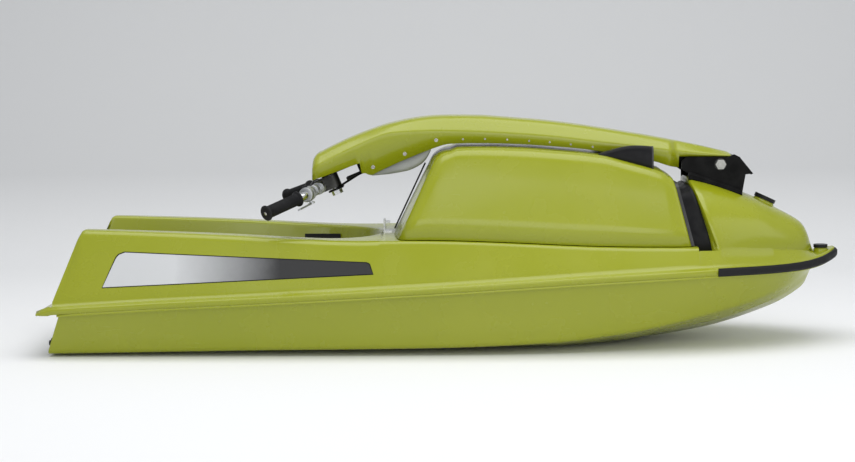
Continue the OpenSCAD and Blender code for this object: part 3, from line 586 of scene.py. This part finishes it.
# Tray mats and label plate: two black rubber mats are glued to the floor of the tray, with close low
# ribs across them for grip. A blank black plate is fixed to the tray's wall.


def empty_tree(label, inputs):
    """A tree with a geometry input, the named sizes given and a material input."""
    tree = bpy.data.node_groups.new(label, "GeometryNodeTree")
    first, last = ("Geometry", "NodeSocketGeometry"), ("Material", "NodeSocketMaterial")
    for name, kind in [first] + inputs + [last]:
        tree.interface.new_socket(name, in_out="INPUT", socket_type=kind)
    tree.interface.new_socket("Geometry", in_out="OUTPUT", socket_type="NodeSocketGeometry")
    return tree, tree.nodes.new("NodeGroupInput")


def on_every_point(tree, group_in, shape, rotation=None):
    """Puts the shape on every point, makes the copies real and sets their material."""
    place = tree.nodes.new("GeometryNodeInstanceOnPoints")
    real = tree.nodes.new("GeometryNodeRealizeInstances")
    paint = tree.nodes.new("GeometryNodeSetMaterial")
    group_out = tree.nodes.new("NodeGroupOutput")
    link = tree.links.new
    link(group_in.outputs["Geometry"], place.inputs["Points"])
    link(shape, place.inputs["Instance"])
    if rotation:
        link(rotation, place.inputs["Rotation"])
    link(place.outputs["Instances"], real.inputs["Geometry"])
    link(real.outputs["Geometry"], paint.inputs["Geometry"])
    link(group_in.outputs["Material"], paint.inputs["Material"])
    link(paint.outputs["Geometry"], group_out.inputs["Geometry"])
    return tree


def rib_tree():
    """One bar of the given size on every point."""
    tree, group_in = empty_tree("mat_ribs", [("Rib Size", "NodeSocketVector")])
    bar = tree.nodes.new("GeometryNodeMeshCube")
    tree.links.new(group_in.outputs["Rib Size"], bar.inputs["Size"])
    return on_every_point(tree, group_in, bar.outputs["Mesh"])


def grown(name, tree, spots, directions, sizes, body, material):
    """Runs a tree on a few points in millimetres, and keeps the result as one plain mesh."""
    mesh = bpy.data.meshes.new(name)
    mesh.from_pydata([tuple(c / 1000 for c in spot) for spot in spots], [], [])
    facing = mesh.attributes.new("facing", "FLOAT_VECTOR", "POINT")
    for i, direction in enumerate(directions):
        facing.data[i].vector = direction
    seed = bpy.data.objects.new(name + "_points", mesh)
    bpy.context.scene.collection.objects.link(seed)
    grower = seed.modifiers.new("grow", "NODES")
    grower.node_group = tree
    inputs = dict(sizes, Material=material)
    for item in tree.interface.items_tree:
        if item.in_out == "INPUT" and item.name in inputs:
            grower[item.identifier] = inputs[item.name]
    bpy.context.view_layer.update()
    shape = bpy.data.meshes.new_from_object(seed.evaluated_get(bpy.context.evaluated_depsgraph_get()))
    seed.modifiers.remove(grower)
    bpy.data.objects.remove(seed)
    return hand_over(piece_from(name, shape, material, 30), body)


mat_side, mat_top, rib_pitch = 73, 5.0, 14.0
rib_spots = [(float(x), side * mat_side, sheer(x) + floor_rise + mat_top)
             for x in np.arange(-898, -350, rib_pitch) for side in (-1, 1)]
grown("tray_mat_ribs", rib_tree(), rib_spots, [(0, 0, 1)] * len(rib_spots),
      {"Rib Size": (0.006, 0.126, 0.003)}, "craft", black_rubber)
dress("tray_mat", black_rubber)
dress("label_plate", black_plastic)


# Jet drive: the engine turns a stainless shaft and impeller in a cast pump at the stern, fed through
# the grate in the pad. The nozzle behind it steers, and a cast plate closes the tunnel from below.


def metal_finish(name, tone, dark, roughness, grain=300, stretch=(1, 1, 1), depth=0.0003, metallic=1.0):
    """Bare, cast or painted metal: tarnish in patches, and a grain that may run one way."""
    finish = Finish(name, roughness=0.3, metallic=metallic, Specular_IOR_Level=0.5 if metallic else 0.06)
    finish.colour(finish.blend(finish.spread(finish.noise(25, 5), 0, 1, 0.4, 0.75), tone, dark))
    finish.rough(finish.spread(finish.noise(grain, 3, 0.6, stretch), *roughness))
    finish.bump(finish.noise(grain * 2, 2, 0.5, stretch), 0.15, depth)
    return finish.material


stainless = metal_finish("stainless", (0.62, 0.63, 0.64, 1), (0.45, 0.46, 0.47, 1), (0.22, 0.38), 260,
                         (1, 8, 8))
cast_alloy = metal_finish("cast_alloy", (0.5, 0.51, 0.52, 1), (0.36, 0.37, 0.38, 1), (0.38, 0.55), 240,
                          depth=0.0008)
for node in ("engine_block", "intake_grate", "pump_housing", "pump_outlet", "steering_nozzle",
             "nozzle_arm", "ride_plate"):
    dress(node, cast_alloy)
dress("drive_shaft", stainless)
dress("impeller", stainless)
dress("pump_tunnel", gelcoat)


# Screws of the ride plate: stainless pan heads on thin washers, four down each edge, which hold the
# cast plate up against the keel pad.


def fastener_tree():
    """One round head on every point, turned to face outwards: a washer under a tapered head."""
    sizes = ("Washer Radius", "Head Radius", "Head Height", "Washer Height")
    tree, group_in = empty_tree("fastener_heads", [(size, "NodeSocketFloat") for size in sizes])
    washer = tree.nodes.new("GeometryNodeMeshCylinder")
    head = tree.nodes.new("GeometryNodeMeshCone")
    for disc in (washer, head):
        disc.inputs["Vertices"].default_value = 20
    crown = tree.nodes.new("ShaderNodeMath")
    crown.operation = "MULTIPLY"
    crown.inputs[1].default_value = 0.62
    both = tree.nodes.new("GeometryNodeJoinGeometry")
    facing = tree.nodes.new("GeometryNodeInputNamedAttribute")
    facing.data_type = "FLOAT_VECTOR"
    facing.inputs["Name"].default_value = "facing"
    turn = tree.nodes.new("FunctionNodeAlignRotationToVector")
    turn.axis = "Z"
    for source, target in ((group_in.outputs["Washer Radius"], washer.inputs["Radius"]),
                           (group_in.outputs["Washer Height"], washer.inputs["Depth"]),
                           (group_in.outputs["Head Radius"], head.inputs["Radius Bottom"]),
                           (group_in.outputs["Head Height"], head.inputs["Depth"]),
                           (group_in.outputs["Head Radius"], crown.inputs[0]),
                           (crown.outputs["Value"], head.inputs["Radius Top"]),
                           (washer.outputs["Mesh"], both.inputs["Geometry"]),
                           (head.outputs["Mesh"], both.inputs["Geometry"]),
                           (facing.outputs["Attribute"], turn.inputs["Vector"])):
        tree.links.new(source, target)
    return on_every_point(tree, group_in, both.outputs["Geometry"], turn.outputs["Rotation"])


head_tree = fastener_tree()
screw_steel = Finish("bright_steel", roughness=0.25, metallic=1.0)
tarnish = screw_steel.spread(screw_steel.noise(80, 3), 0, 1)
screw_steel.colour(screw_steel.blend(tarnish, (0.5, 0.49, 0.46, 1), (0.3, 0.29, 0.27, 1)))
screw_steel.rough(screw_steel.spread(screw_steel.noise(300, 2), 0.18, 0.36))
bright_steel = screw_steel.material
plate_low, plate_high = (np.array(corner) * 1000 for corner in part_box("ride_plate"))
plate_screws = [(x, y, plate_low[2] + 0.4) for x in np.linspace(plate_low[0] + 20, plate_high[0] - 20, 4)
                for y in (plate_low[1] + 10, plate_high[1] - 10)]
grown("ride_plate_screws", head_tree, plate_screws, [(0, 0, -1)] * len(plate_screws),
      {"Washer Radius": 0.004, "Head Radius": 0.0034, "Head Height": 0.0008, "Washer Height": 0.0006},
      "craft", bright_steel)


# Stern fittings: a black rubber exhaust spout pushed onto its stub, and black plastic drain plugs
# screwed into the transom.
dress("exhaust_outlet", black_rubber)
dress("drain_plugs", black_plastic)


# Engine hood: a loose glass-fibre box that drops over the lip, with flat sides, a rounded top edge
# and softly rounded rear corners. It has the hull's gelcoat, and stands on a grey rubber seal whose
# near-black colour is painted shade in the slot ahead of the hood.
hood_rear, hood_end = -18.0, 592.0
hood_gap, lip_rise = 3.0, 8.0
hood_edge = 26
hood_top_line = through([(-18, 521), (0, 525), (142, 525), (270, 519), (380, 509), (424, 497),
                         (540, 464), (592, 444)])
pole_under_line = through([(-208, 456), (-194, 451), (-170, 462), (-105, 491), (-21, 523), (13, 531),
                           (143, 531), (273, 523), (404, 509), (549, 480), (580, 470), (609, 463)])


def pole_under(x):
    """Height of the pole's lower edge, which the hood's top stays under."""
    if x < -222:
        return 439 + (x + 349) * 44 / 127
    return 492.0 if x > 612 else pole_under_line(x)


def hood_top(x):
    """Height of the hood's top, always clear of the pole."""
    return min(hood_top_line(x), pole_under(x) - 8)


def hood_foot(x):
    """Where the hood's foot stands for a section whose top is at x."""
    return x + mixed(-98, 36, (x - hood_rear) / (hood_end - hood_rear))


def hood_section(xt, inset=0.0):
    """Half a section of the hood: its top is at xt, and its foot is further out at each end."""
    u = (xt - hood_rear) / (hood_end - hood_rear)
    xb = hood_foot(xt)
    wb, zb = shoulder_half(xb) - 8, shoulder(xb) + lip_rise + hood_gap
    zt, wc = hood_top(xt), mixed(196, 172, u)
    crown = 10 * share(xt, 480, 575)
    corners = [(wb, zb, 0), (mixed(wb, wc, 0.5), mixed(zb, zt - hood_edge, 0.5), 60),
               (wc - 1, zt - 0.5, 30), (wc * 0.5, zt + crown * 0.8, 30), (0, zt + crown, 0)]
    out = []
    for y, z in rounded(corners, 8):
        z = zb + (z - zb) * (1 - inset / (zt - zb))
        y = y * (1 - inset / wb)
        out.append((mixed(xb, xt, (z - zb) / (zt - hood_edge - zb)), y, z))
    return out


def hood_bulge(y):
    """The rear face is crowned: this is how far it stands out behind its corners."""
    return 20 * (1 - (y / 252) ** 2)


hood_rows = []
rim_z = shoulder(-116) + lip_rise + hood_gap
rear_foot = [(hood_foot(hood_rear) - hood_bulge(y), y, rim_z) for x, y, z in hood_section(hood_rear, 20)]
rear_ring = [(x - hood_bulge(y), y, z) for x, y, z in hood_section(hood_rear, 24)]
for u in (0.0, 0.33, 0.66):
    hood_rows.append(between(rear_foot, rear_ring, u))
for k in range(7):
    turn = math.pi / 2 * k / 6
    inset, ahead = 24 * (1 - math.sin(turn)), 26 * (1 - math.cos(turn))
    hood_rows.append([(x - hood_bulge(y) * (1 - ahead / 60) + ahead, y, z)
                      for x, y, z in hood_section(hood_rear, inset)])
for station in np.arange(22, 575, 13.0):
    bulge = max(0.0, 1 - (station - hood_rear) / 60)
    hood_rows.append([(x - hood_bulge(y) * bulge * 0.5, y, z)
                      for x, y, z in hood_section(float(station))])
for k in range(5):
    turn = math.pi / 2 * k / 4
    inset, back = 10 * (1 - math.cos(turn)), 12 * (1 - math.sin(turn))
    hood_rows.append([(x - back, y, z) for x, y, z in hood_section(hood_end, inset)])
front_x = hood_foot(hood_end)
front_foot = [(front_x + 3 * (1 - (y / 200) ** 2), y, shoulder(front_x) + lip_rise + hood_gap)
              for x, y, z in hood_section(hood_end, 12)]
front_ring = hood_rows[-1]
for u in (0.5, 1.0):
    hood_rows.append(between(front_ring, front_foot, u))
skin("hood_skin", [both_halves(row) for row in hood_rows], "craft", gelcoat, ["engine_hood"], wall=0.004)


def grey_finish(name, tone=(0.4, 0.41, 0.4, 1), dark=(0.3, 0.31, 0.31, 1)):
    """Dull grey moulding or rubber, dirtier in patches."""
    finish = Finish(name, roughness=0.45)
    finish.colour(finish.blend(finish.spread(finish.noise(12, 5), 0, 1, 0.35, 0.7), tone, dark))
    finish.rough(finish.spread(finish.noise(60, 3), 0.38, 0.56))
    finish.bump(finish.noise(500, 2), 0.1, 0.0005)
    return finish.material


# The seal's near-black colour is painted shade: it darkens the slot between the hood and the cowl.
seal_painted_shade = grey_finish("seal_painted_shade", (0.035, 0.036, 0.036, 1), (0.02, 0.02, 0.02, 1))
dress("hood_seal", seal_painted_shade)
dress("hood_strap", black_rubber)
dress("strap_catch", stainless)


# Slot shade sheet: a black rubber sheet set back in the slot between the hood and the bow cowl, closing
# it. Its black is painted shade: it stands where the slot holds only shade.
slot_shade_rows = []
for u in np.linspace(0.04, 0.96, 9):
    row = []
    for x, y, z in hood_section(hood_end, 30):
        slot_rear = mixed(629, hood_end, share(z, 270, 418))
        slot_front = mixed(693, 629, share(z, 262, 440))
        sunk = (0 if row else 20) + 12 * math.sin(math.pi * u)
        row.append((mixed(slot_rear, slot_front, u), y, z - sunk))
    slot_shade_rows.append(both_halves(row))
# A dark sheet as painted shade in the slot, not a real part.
skin("slot_shade_sheet", slot_shade_rows, "craft", black_rubber, wall=0.002)


# Air scoops: two black plastic cowls on the hood's top, low at the back and open to the front, with
# a bead round the mouth whose dull grey is a painted highlight on the lit rim. Each is glued down along
# its two sides.
scoop_mid, scoop_half, scoop_ends = 126, 21, (397, 537)
# The bead's grey, lighter than the black shell, is a painted highlight along the lit rim of the mouth.
bead_painted_highlight = grey_finish("bead_painted_highlight", (0.03, 0.03, 0.031, 1), (0.018, 0.018, 0.018, 1))
scoop_rise = through([(397, 3), (410, 9), (425, 16), (450, 30), (475, 41), (505, 50), (537, 57)])
for side, node in ((-1, "hood_scoop_right"), (1, "hood_scoop_left")):
    shell, bead = [], []
    for x in np.linspace(*scoop_ends, 22):
        row = []
        for turn in np.linspace(math.pi, 0, 25):
            across = math.copysign(abs(math.cos(turn)) ** 0.45, math.cos(turn))
            up = (scoop_rise(x) + 2) * abs(math.sin(turn)) ** 0.7
            row.append((float(x), side * scoop_mid + scoop_half * across, hood_top(x) - 2 + up))
        shell.append(row)
    for dx, out in ((-5.0, 0.0), (-4.2, 0.8), (-0.4, 0.8), (0.0, 0.2)):
        bead.append([(x + dx, y + out * (y - side * scoop_mid) / scoop_half, z + out)
                     for x, y, z in shell[-1]])
    skin(node + "_shell", shell, "craft", black_plastic, [node], wall=0.003)
    skin(node + "_bead", bead, "craft", bead_painted_highlight, wall=0.001)


# Side stripes: a long tapering foil on each gunwale, bare silver aft and fading to black towards the
# bow, inside a thin black border. Two films, the border a hair below the foil.
foil = Finish("stripe_foil", roughness=0.34)
foil_x = foil.add("ShaderNodeSeparateXYZ")
foil.feed(foil_x.inputs["Vector"], foil.place)
ragged = foil.sum(foil_x.outputs["X"], foil.sum(foil.noise(14, 4), 0.05, "MULTIPLY"))
fade = foil.spread(ragged, 0, 1, -0.66, -0.4)
foil.colour(foil.blend(fade, (0.6, 0.61, 0.62, 1), (0.012, 0.012, 0.013, 1)))
foil.rough(foil.spread(foil.noise(500, 2, 0.5, (1, 1, 12)), 0.28, 0.42))
foil.bump(foil.noise(700, 2, 0.5, (1, 1, 10)), 0.08, 0.0002)
foil_border = black_finish("stripe_border")


def gunwale_side(x, z, proud):
    """A point on the gunwale's side at distance x and height z, standing a little proud."""
    w, low, high = flange_half(x), sheer(x) + side_foot, shoulder(x) + side_round
    return (x, mixed(w - 18, shoulder_half(x) - 1, (z - low) / (high - low)) + proud, z)


stripe_aft, stripe_bow = (-873, -832), (-182, -192)
stripe_low, stripe_high = (180, 212), (274, 242)


def stripe_rows(margin, proud):
    """Rows from the stripe's lower to its upper edge, whose upper corners are rounded."""
    rows = []
    for v in np.linspace(0, 1, 15):
        cut = 16 * (1 - math.sqrt(max(0.0, 1 - max(0.0, (v - 0.8) / 0.2) ** 2)))
        aft = mixed(*stripe_aft, v) + cut + margin
        bow = mixed(*stripe_bow, v) - 0.5 * cut - margin
        row = []
        for u in np.linspace(0, 1, 81):
            x = mixed(aft, bow, u)
            along = share(x, stripe_aft[0], stripe_bow[0])
            low, high = mixed(*stripe_low, along) + margin, mixed(*stripe_high, along) - margin
            row.append(gunwale_side(x, mixed(low, high, v), proud))
        rows.append(row)
    return rows


for side, name in ((-1, "right"), (1, "left")):
    for label, margin, proud, material in (("border", 0.0, 0.5, foil_border),
                                           ("foil", 2.2, 0.75, foil.material)):
        rows = [[(x, side * y, z) for x, y, z in row][::-side] for row in stripe_rows(margin, proud)]
        skin("stripe_%s_%s" % (label, name), rows, "craft", material, wall=0, upper=False)


# Pole bracket: folded black steel on the bow cowl, closed onto it by a welded foot under each side
# plate. The yoke turns between the plates on a plated bolt, with a dark washer under each nut.
pivot_x, pivot_z = 720, 471
plate_edge, foot_ends = 70.9, (636, 777)
black_steel = metal_finish("black_steel", (0.004, 0.004, 0.004, 1), (0.012, 0.012, 0.012, 1),
                           (0.3, 0.42), metallic=0.0)
plated_zinc = metal_finish("plated_zinc", (0.46, 0.46, 0.43, 1), (0.25, 0.25, 0.23, 1), (0.3, 0.5), 120)
dark_alloy = metal_finish("dark_alloy", (0.05, 0.05, 0.048, 1), (0.1, 0.1, 0.095, 1), (0.4, 0.6), 240,
                          depth=0.0008)
dress("pole_bracket", black_steel)
dress("pole_yoke", black_steel)
dress("pivot_bolt", plated_zinc)
deck_surface = BVHTree.FromPolygons([v.co for v in deck_skin.data.vertices],
                                    [f.vertices for f in deck_skin.data.polygons])


def deck_height(x, y):
    """Height of the deck's surface at a point, found from above."""
    hit = deck_surface.ray_cast(Vector((x / 1000, y / 1000, 0.7)), Vector((0, 0, -1)))[0]
    return hit.z * 1000 if hit else 300.0


for side, name in ((-1, "right"), (1, "left")):
    rows = []
    for x in np.linspace(*foot_ends, 24):
        edge = pivot_z - 22 - (x - 634) * 52 / 144
        foot = deck_height(x, side * 69) - 1.5
        heights = (max(edge + 5, foot + 2), mixed(foot, edge, 0.2), foot)
        rows.append([(x, side * plate_edge, z) for z in heights])
    skin("bracket_foot_" + name, rows, "craft", black_steel, wall=0.0056,
         upper=side < 0)
    turned("pivot_washer_" + name, [(0, 0), (0, 15.4), (0.9, 15.4), (1.2, 14.8), (1.2, 0)],
           (pivot_x, side * 71.1, pivot_z), (0, side, 0), "craft", dark_alloy)


# Handle pole: a long glass-fibre arm over the hood, pivoted on the bow bracket. Its skirts carry a
# row of screws, and a light grey pan closes its underside behind the hood.
pole_rear = -355.0
pole_top = through([(-355, 495), (-333, 511), (-253, 547), (-173, 577), (-119, 591), (-66, 600),
                    (-13, 604), (93, 603), (146, 599), (279, 587), (411, 568), (544, 545), (677, 518),
                    (752, 500)])
pole_crease = through([(-355, 472), (-333, 483), (-249, 522), (-170, 556), (-131, 564), (-13, 567),
                       (144, 560), (274, 550), (405, 534), (457, 528), (582, 512), (702, 499),
                       (752, 494)])


def pole_half(x):
    """Half the pole's width: a long taper, then a step in to the front arm."""
    wide = mixed(96, 84, share(x, pole_rear, 575))
    u = share(x, 584, 609)
    return mixed(wide, 60, u * u * (3 - 2 * u))


def pole_section(x, inset=0.0):
    """Half a section of the pole: skirt, crease, sloping shoulder and top."""
    w, zu = pole_half(x) - inset, pole_under(x)
    zt = max(pole_top(x) - inset * 0.7, zu + 5)
    zc = min(max(pole_crease(x) - inset * 0.7, zu + 2), zt - 2)
    corners = [(w, zu, 0), (w - 1.5, zc, 5), (w - 30, zc + 0.93 * (zt - zc), 16), (w * 0.25, zt, 12),
               (0, zt, 0)]
    return [(x, y, z) for y, z in rounded(corners, 7)]


tail_x = pole_rear + 6
tail_foot = [(pole_rear + 4, y, pole_under(tail_x)) for x, y, z in pole_section(tail_x, 14)]
tail_ring = [(pole_rear, y, max(z, 446)) for x, y, z in pole_section(pole_rear + 3, 14)]
pole_rows = [tail_foot, between(tail_foot, tail_ring, 0.6)]
for k in range(5):
    turn = math.pi / 2 * k / 4
    inset, ahead = 14 * (1 - math.sin(turn)), 15 * (1 - math.cos(turn))
    tail_section = pole_section(pole_rear + 3 + ahead, inset)
    pole_rows.append([(pole_rear + ahead, y, z) for x, y, z in tail_section])
pole_stations = (list(np.arange(-330, -226, 12.0)) + [-223, -218, -213, -208, -202, -194, -186]
                 + list(np.arange(-176, 575, 12.0)) + list(np.arange(578, 610, 4.0))
                 + [611, 612, 613, 616] + list(np.arange(625, 742, 12.0)) + [745])
for x in pole_stations:
    pole_rows.append(pole_section(float(x)))
for x, inset in ((749, 2), (751.5, 5), (752, 9)):
    pole_rows.append(pole_section(x, inset))
tail_shift = 6
for k, row in enumerate(pole_rows):
    pole_rows[k] = [(x + tail_shift * max(0.0, 1 - (x - pole_rear) / 90), y, z) for x, y, z in row]
skin("pole_skin", [both_halves(row) for row in pole_rows], "pole", gelcoat, ["handle_pole"], wall=0.004)

grey_trim = grey_finish("grey_trim")
pan_belly = [(-192, 449), (-150, 452), (-118, 457), (-98, 461), (-84, 466), (-72, 472), (-60, 480),
             (-50, 490), (-43, 502), (-38, 512), (-36, 521)]
pan_rows = []
for x, z in pan_belly:
    w, top = pole_half(x) - 9, pole_under(x) + 9
    low = min(z, top - 1)
    outline = rounded([(w, top, 0), (w, low, 12), (w * 0.4, low - 1, 4), (0, low - 1, 0)])
    pan_rows.append(both_halves([(x, y, h) for y, h in outline]))
skin("pole_pan_shell", pan_rows, "pole", grey_trim, ["pole_pan"], wall=0.003,
     upper=False)


# Fastenings of the pole: pan-head screws on washers at the stern end of each skirt, then a row of
# small bright rivets along the lower edge, set every fifty-odd millimetres.
skirt_screws = [(-188, 472), (-105, 506), (-23, 541)]
skirt_rivets = [(47, 543), (104, 543), (162, 541), (219, 537), (273, 533), (328, 527), (385, 520),
                (437, 512)]
screw_sizes = {"Washer Radius": 0.0048, "Washer Height": 0.0026,
               "Head Radius": 0.0036, "Head Height": 0.0066}
rivet_sizes = {"Washer Radius": 0.0026, "Washer Height": 0.0016,
               "Head Radius": 0.0022, "Head Height": 0.0036}
for label, spots, sizes in (("pole_screws", skirt_screws, screw_sizes),
                            ("pole_rivets", skirt_rivets, rivet_sizes)):
    places = [(x, side * (pole_half(x) - 0.2), z) for x, z in spots for side in (-1, 1)]
    outwards = [(0, side, 0) for side in (-1, 1)] * len(spots)
    grown(label, head_tree, places, outwards, sizes, "pole", bright_steel)


# Steering frame and stem: flat black steel folded into an open frame under the pole, which holds the
# stainless stem between its two leaves. Two thin rods brace it below.
bar_tilt, stem_top = math.radians(22), (-300, 430)


def on_bar(a, y, n):
    """A point in the handlebar's own plane, tilted down to the stern about the stem: a forward, n up."""
    return np.array([stem_top[0] + a * math.cos(bar_tilt) - n * math.sin(bar_tilt), y,
                     stem_top[1] + a * math.sin(bar_tilt) + n * math.cos(bar_tilt)])


def block(name, low, high, body, material, bevel=1.2, replaced=()):
    """A folded or cut plate with softened edges, between two corners in the handlebar's own plane."""
    work = bmesh.new()
    bmesh.ops.create_cube(work, size=1.0)
    for v in work.verts:
        v.co = [mixed(low[i], high[i], v.co[i] + 0.5) for i in range(3)]
    bmesh.ops.bevel(work, geom=work.edges[:], offset=bevel, segments=3, affect="EDGES")
    for v in work.verts:
        v.co = Vector(on_bar(*v.co)) / 1000
    mesh = bpy.data.meshes.new(name)
    work.to_mesh(mesh)
    work.free()
    return hand_over(piece_from(name, mesh, material, 50), body, replaced)


dress("steering_mount", black_steel)
dress("steering_stem", stainless)
dress("control_cables", black_plastic)
block("steering_leaf_top", (-22, -28, 19), (84, 28, 24.5), "pole", black_steel,
      replaced=["steering_mount"])
block("steering_leaf_low", (-20, -24, -25), (22, 24, -20.5), "pole", black_steel)
block("steering_frame_end", (80, -58, -9), (84.5, 58, 24), "pole", black_steel)
for side in (-1, 1):
    rod_foot, rod_head = on_bar(4, side * 22, -21), on_bar(82, side * 40, -7)
    rod_long = np.linalg.norm(rod_head - rod_foot)
    turned("steering_brace_%d" % (side > 0), [(0, 0), (0, 2.2), (rod_long, 2.2), (rod_long, 0)],
           rod_foot, rod_head - rod_foot, "pole", black_steel, sides=14)


# Handlebar: one plated steel tube, bent twice on each side and held to the stem by a dark cast clamp,
# with two cast collars pinched on each arm.
bar_end, bend_out, bend_in = np.array((-157.0, 285.0)), np.array((-66.0, 192.0)), np.array((-28.0, 50.0))
bar_radius = 11


def along_tube(side, y):
    """A point on the axis of the tube's sloping run, at a distance y from the middle."""
    u = (y - bend_in[1]) / (bend_out[1] - bend_in[1])
    return on_bar(mixed(bend_in[0], bend_out[0], u), side * y, 0)


plated = metal_finish("plated_tube", (0.75, 0.76, 0.77, 1), (0.55, 0.56, 0.57, 1), (0.12, 0.24), 90)
dress("handlebar_tube", plated)
dress("bar_clamp", dark_alloy)
for side in (-1, 1):
    for y, wide in ((74, 16.5), (112, 14.5)):
        outer, inner = along_tube(side, y + 9), along_tube(side, y - 9)
        turned("bar_collar_%d_%d" % (y, side > 0),
               [(0, bar_radius), (0, wide - 1), (1, wide), (17, wide), (18, wide - 1), (18, bar_radius),
                (0, bar_radius)], outer, inner - outer, "handlebar", cast_alloy, sides=32)


# Grips: black rubber sleeves pushed on the bar ends, with close rings for the palm, a thumb flange
# and a thick end disc round a small bright plug.
ring_count, ring_pitch = 26, 3.7
grip_run = (bend_out - bar_end) / np.linalg.norm(bend_out - bar_end)
for side, node in ((-1, "grip_right"), (1, "grip_left")):
    tip = on_bar(bar_end[0], side * bar_end[1], 0)
    axis = on_bar(bar_end[0] + grip_run[0], side * (bar_end[1] + grip_run[1]), 0) - tip
    profile = [(-7, 0), (-7, 12), (-6.4, 18.5), (-4.6, 20), (-2.4, 20), (-1.2, 18), (0.5, 16.2)]
    for k in range(ring_count):
        profile += [(at + k * ring_pitch, radius) for at, radius in ((4, 15.9), (5.2, 15.1), (6.6, 15.1))]
    profile += [(101, 16.2), (103.5, 18.5), (105, 20), (108, 20), (109.5, 18), (110, 11.2), (0, 11.2),
                (0, 0)]
    dress(node, black_rubber)
    turned(node + "_sleeve", profile, tip, axis, "handlebar", black_rubber, [node])
    turned(node + "_plug", [(-8.4, 0), (-8.4, 3), (-7.6, 4.6), (-6.5, 4.6), (-6.5, 0)], tip, axis,
           "handlebar", bright_steel)


# Controls: a cast throttle body with its lever on the right of the bar and a black stop switch on the
# left, each split along its middle and pinched on the tube.
dress("throttle_lever", cast_alloy)
for side, node, start, end, radius, material, slot in (
        (-1, "throttle_housing", 148, 180, 19, cast_alloy, "cast_alloy"),
        (1, "stop_switch", 152, 178, 17, black_plastic, "black_plastic")):
    dress(node, black_plastic)
    outer, inner = along_tube(side, end), along_tube(side, start)
    long = np.linalg.norm(inner - outer)
    profile = [(0, bar_radius), (0, radius - 3), (1, radius - 1), (3, radius), (long / 2 - 1, radius),
               (long / 2 - 0.6, radius - 1), (long / 2 + 0.6, radius - 1), (long / 2 + 1, radius),
               (long - 3, radius), (long - 1, radius - 1), (long, radius - 3), (long, bar_radius),
               (0, bar_radius)]
    turned(node + "_body", profile, outer, inner - outer, "handlebar", material, [node])
    up = on_bar(0, 0, 1) - on_bar(0, 0, 0)
    knob = [(radius - 2, 0), (radius - 2, 7), (radius + 3, 7), (radius + 4.5, 5.5), (radius + 5, 4),
            (radius + 5, 0)]
    turned(node + "_knob", knob, (outer + inner) / 2, up, "handlebar", black_plastic,
           sides=24)


# Floor: a pale seamless sweep of paper, lit by broad soft lamps, with painted shade greying it up the
# wall. Seen from behind it is clear, so that it never hides the craft.
bend_start, bend_radius, paper_top, paper_half = 1.6, 1.4, 6.0, 14.0
sweep = [(-12.0, 0.0), (-2.6, 0.0), (bend_start, 0.0)]
for k in range(1, 13):
    turn = math.pi / 2 * k / 12
    sweep.append((bend_start + bend_radius * math.sin(turn), bend_radius * (1 - math.cos(turn))))
sweep.append((bend_start + bend_radius, paper_top))
floor_mesh = bpy.data.meshes.new("floor")
floor_mesh.from_pydata([(x, y, z) for y, z in sweep for x in (-paper_half, paper_half)], [],
                       [(2 * k, 2 * k + 1, 2 * k + 3, 2 * k + 2) for k in range(len(sweep) - 1)])
for face in floor_mesh.polygons:
    face.use_smooth = True
floor = bpy.data.objects.new("floor", floor_mesh)
bpy.context.scene.collection.objects.link(floor)
paper = Finish("paper", roughness=0.85, Specular_IOR_Level=0.1)
height = paper.add("ShaderNodeSeparateXYZ")
paper.feed(height.inputs["Vector"], paper.place)
# Near white on the floor, greying to light grey up the wall: painted shade on the upright part.
paper.colour(paper.blend(paper.spread(height.outputs["Z"], 0, 1, 0.0, 0.3), (0.86, 0.865, 0.87, 1),
                         (0.64, 0.645, 0.65, 1)))
clear = paper.add("ShaderNodeBsdfTransparent")
from_behind = paper.add("ShaderNodeMixShader")
paper.feed(from_behind.inputs["Fac"], paper.add("ShaderNodeNewGeometry").outputs["Backfacing"])
paper.feed(from_behind.inputs[1], paper.shader.outputs["BSDF"])
paper.feed(from_behind.inputs[2], clear.outputs["BSDF"])
paper.feed(paper.tree.nodes["Material Output"].inputs["Surface"], from_behind.outputs["Shader"])
floor_mesh.materials.append(paper.material)


def lamp(name, place, target, size, power):
    """A broad soft lamp that points at the target."""
    data = bpy.data.lights.new(name, "AREA")
    data.shape = "RECTANGLE"
    data.size, data.size_y = size
    data.energy = power
    item = bpy.data.objects.new(name, data)
    item.location = place
    item.rotation_euler = (Vector(target) - Vector(place)).to_track_quat("-Z", "Y").to_euler()
    bpy.context.scene.collection.objects.link(item)
    return item


lamp("ceiling", (0, -0.6, 3.2), (0, 0, 0), (4.5, 3.0), 90)
lamp("front", (0.6, -4.2, 1.3), (0, 0, 0.3), (4.0, 1.8), 38)
lamp("bow_side", (3.6, -1.5, 1.6), (0.6, 0, 0.2), (2.0, 2.0), 12)
world = bpy.data.worlds.new("studio")
world.use_nodes = True
world.node_tree.nodes["Background"].inputs["Color"].default_value = (0.9, 0.92, 0.95, 1)
world.node_tree.nodes["Background"].inputs["Strength"].default_value = 0.55
bpy.context.scene.world = world
bpy.context.scene.view_settings.view_transform = "Standard"


# Camera: a long lens at the side of the craft, a little above the flange.
distance, azimuth, elevation, roll = 4.6, math.radians(0.8), math.radians(5.6), math.radians(-0.5)
aim = Vector((-0.0489, 0.0, 0.2943))
lens = bpy.data.cameras.new("camera")
lens.lens = 72.45
lens.sensor_width = 36.0
camera = bpy.data.objects.new("camera", lens)
camera.location = aim + distance * Vector((math.cos(elevation) * math.sin(azimuth),
                                           -math.cos(elevation) * math.cos(azimuth), math.sin(elevation)))
camera.rotation_euler = (aim - camera.location).to_track_quat("-Z", "Y").to_euler()
camera.rotation_euler.rotate_axis("Z", roll)
bpy.context.scene.collection.objects.link(camera)
bpy.context.scene.camera = camera
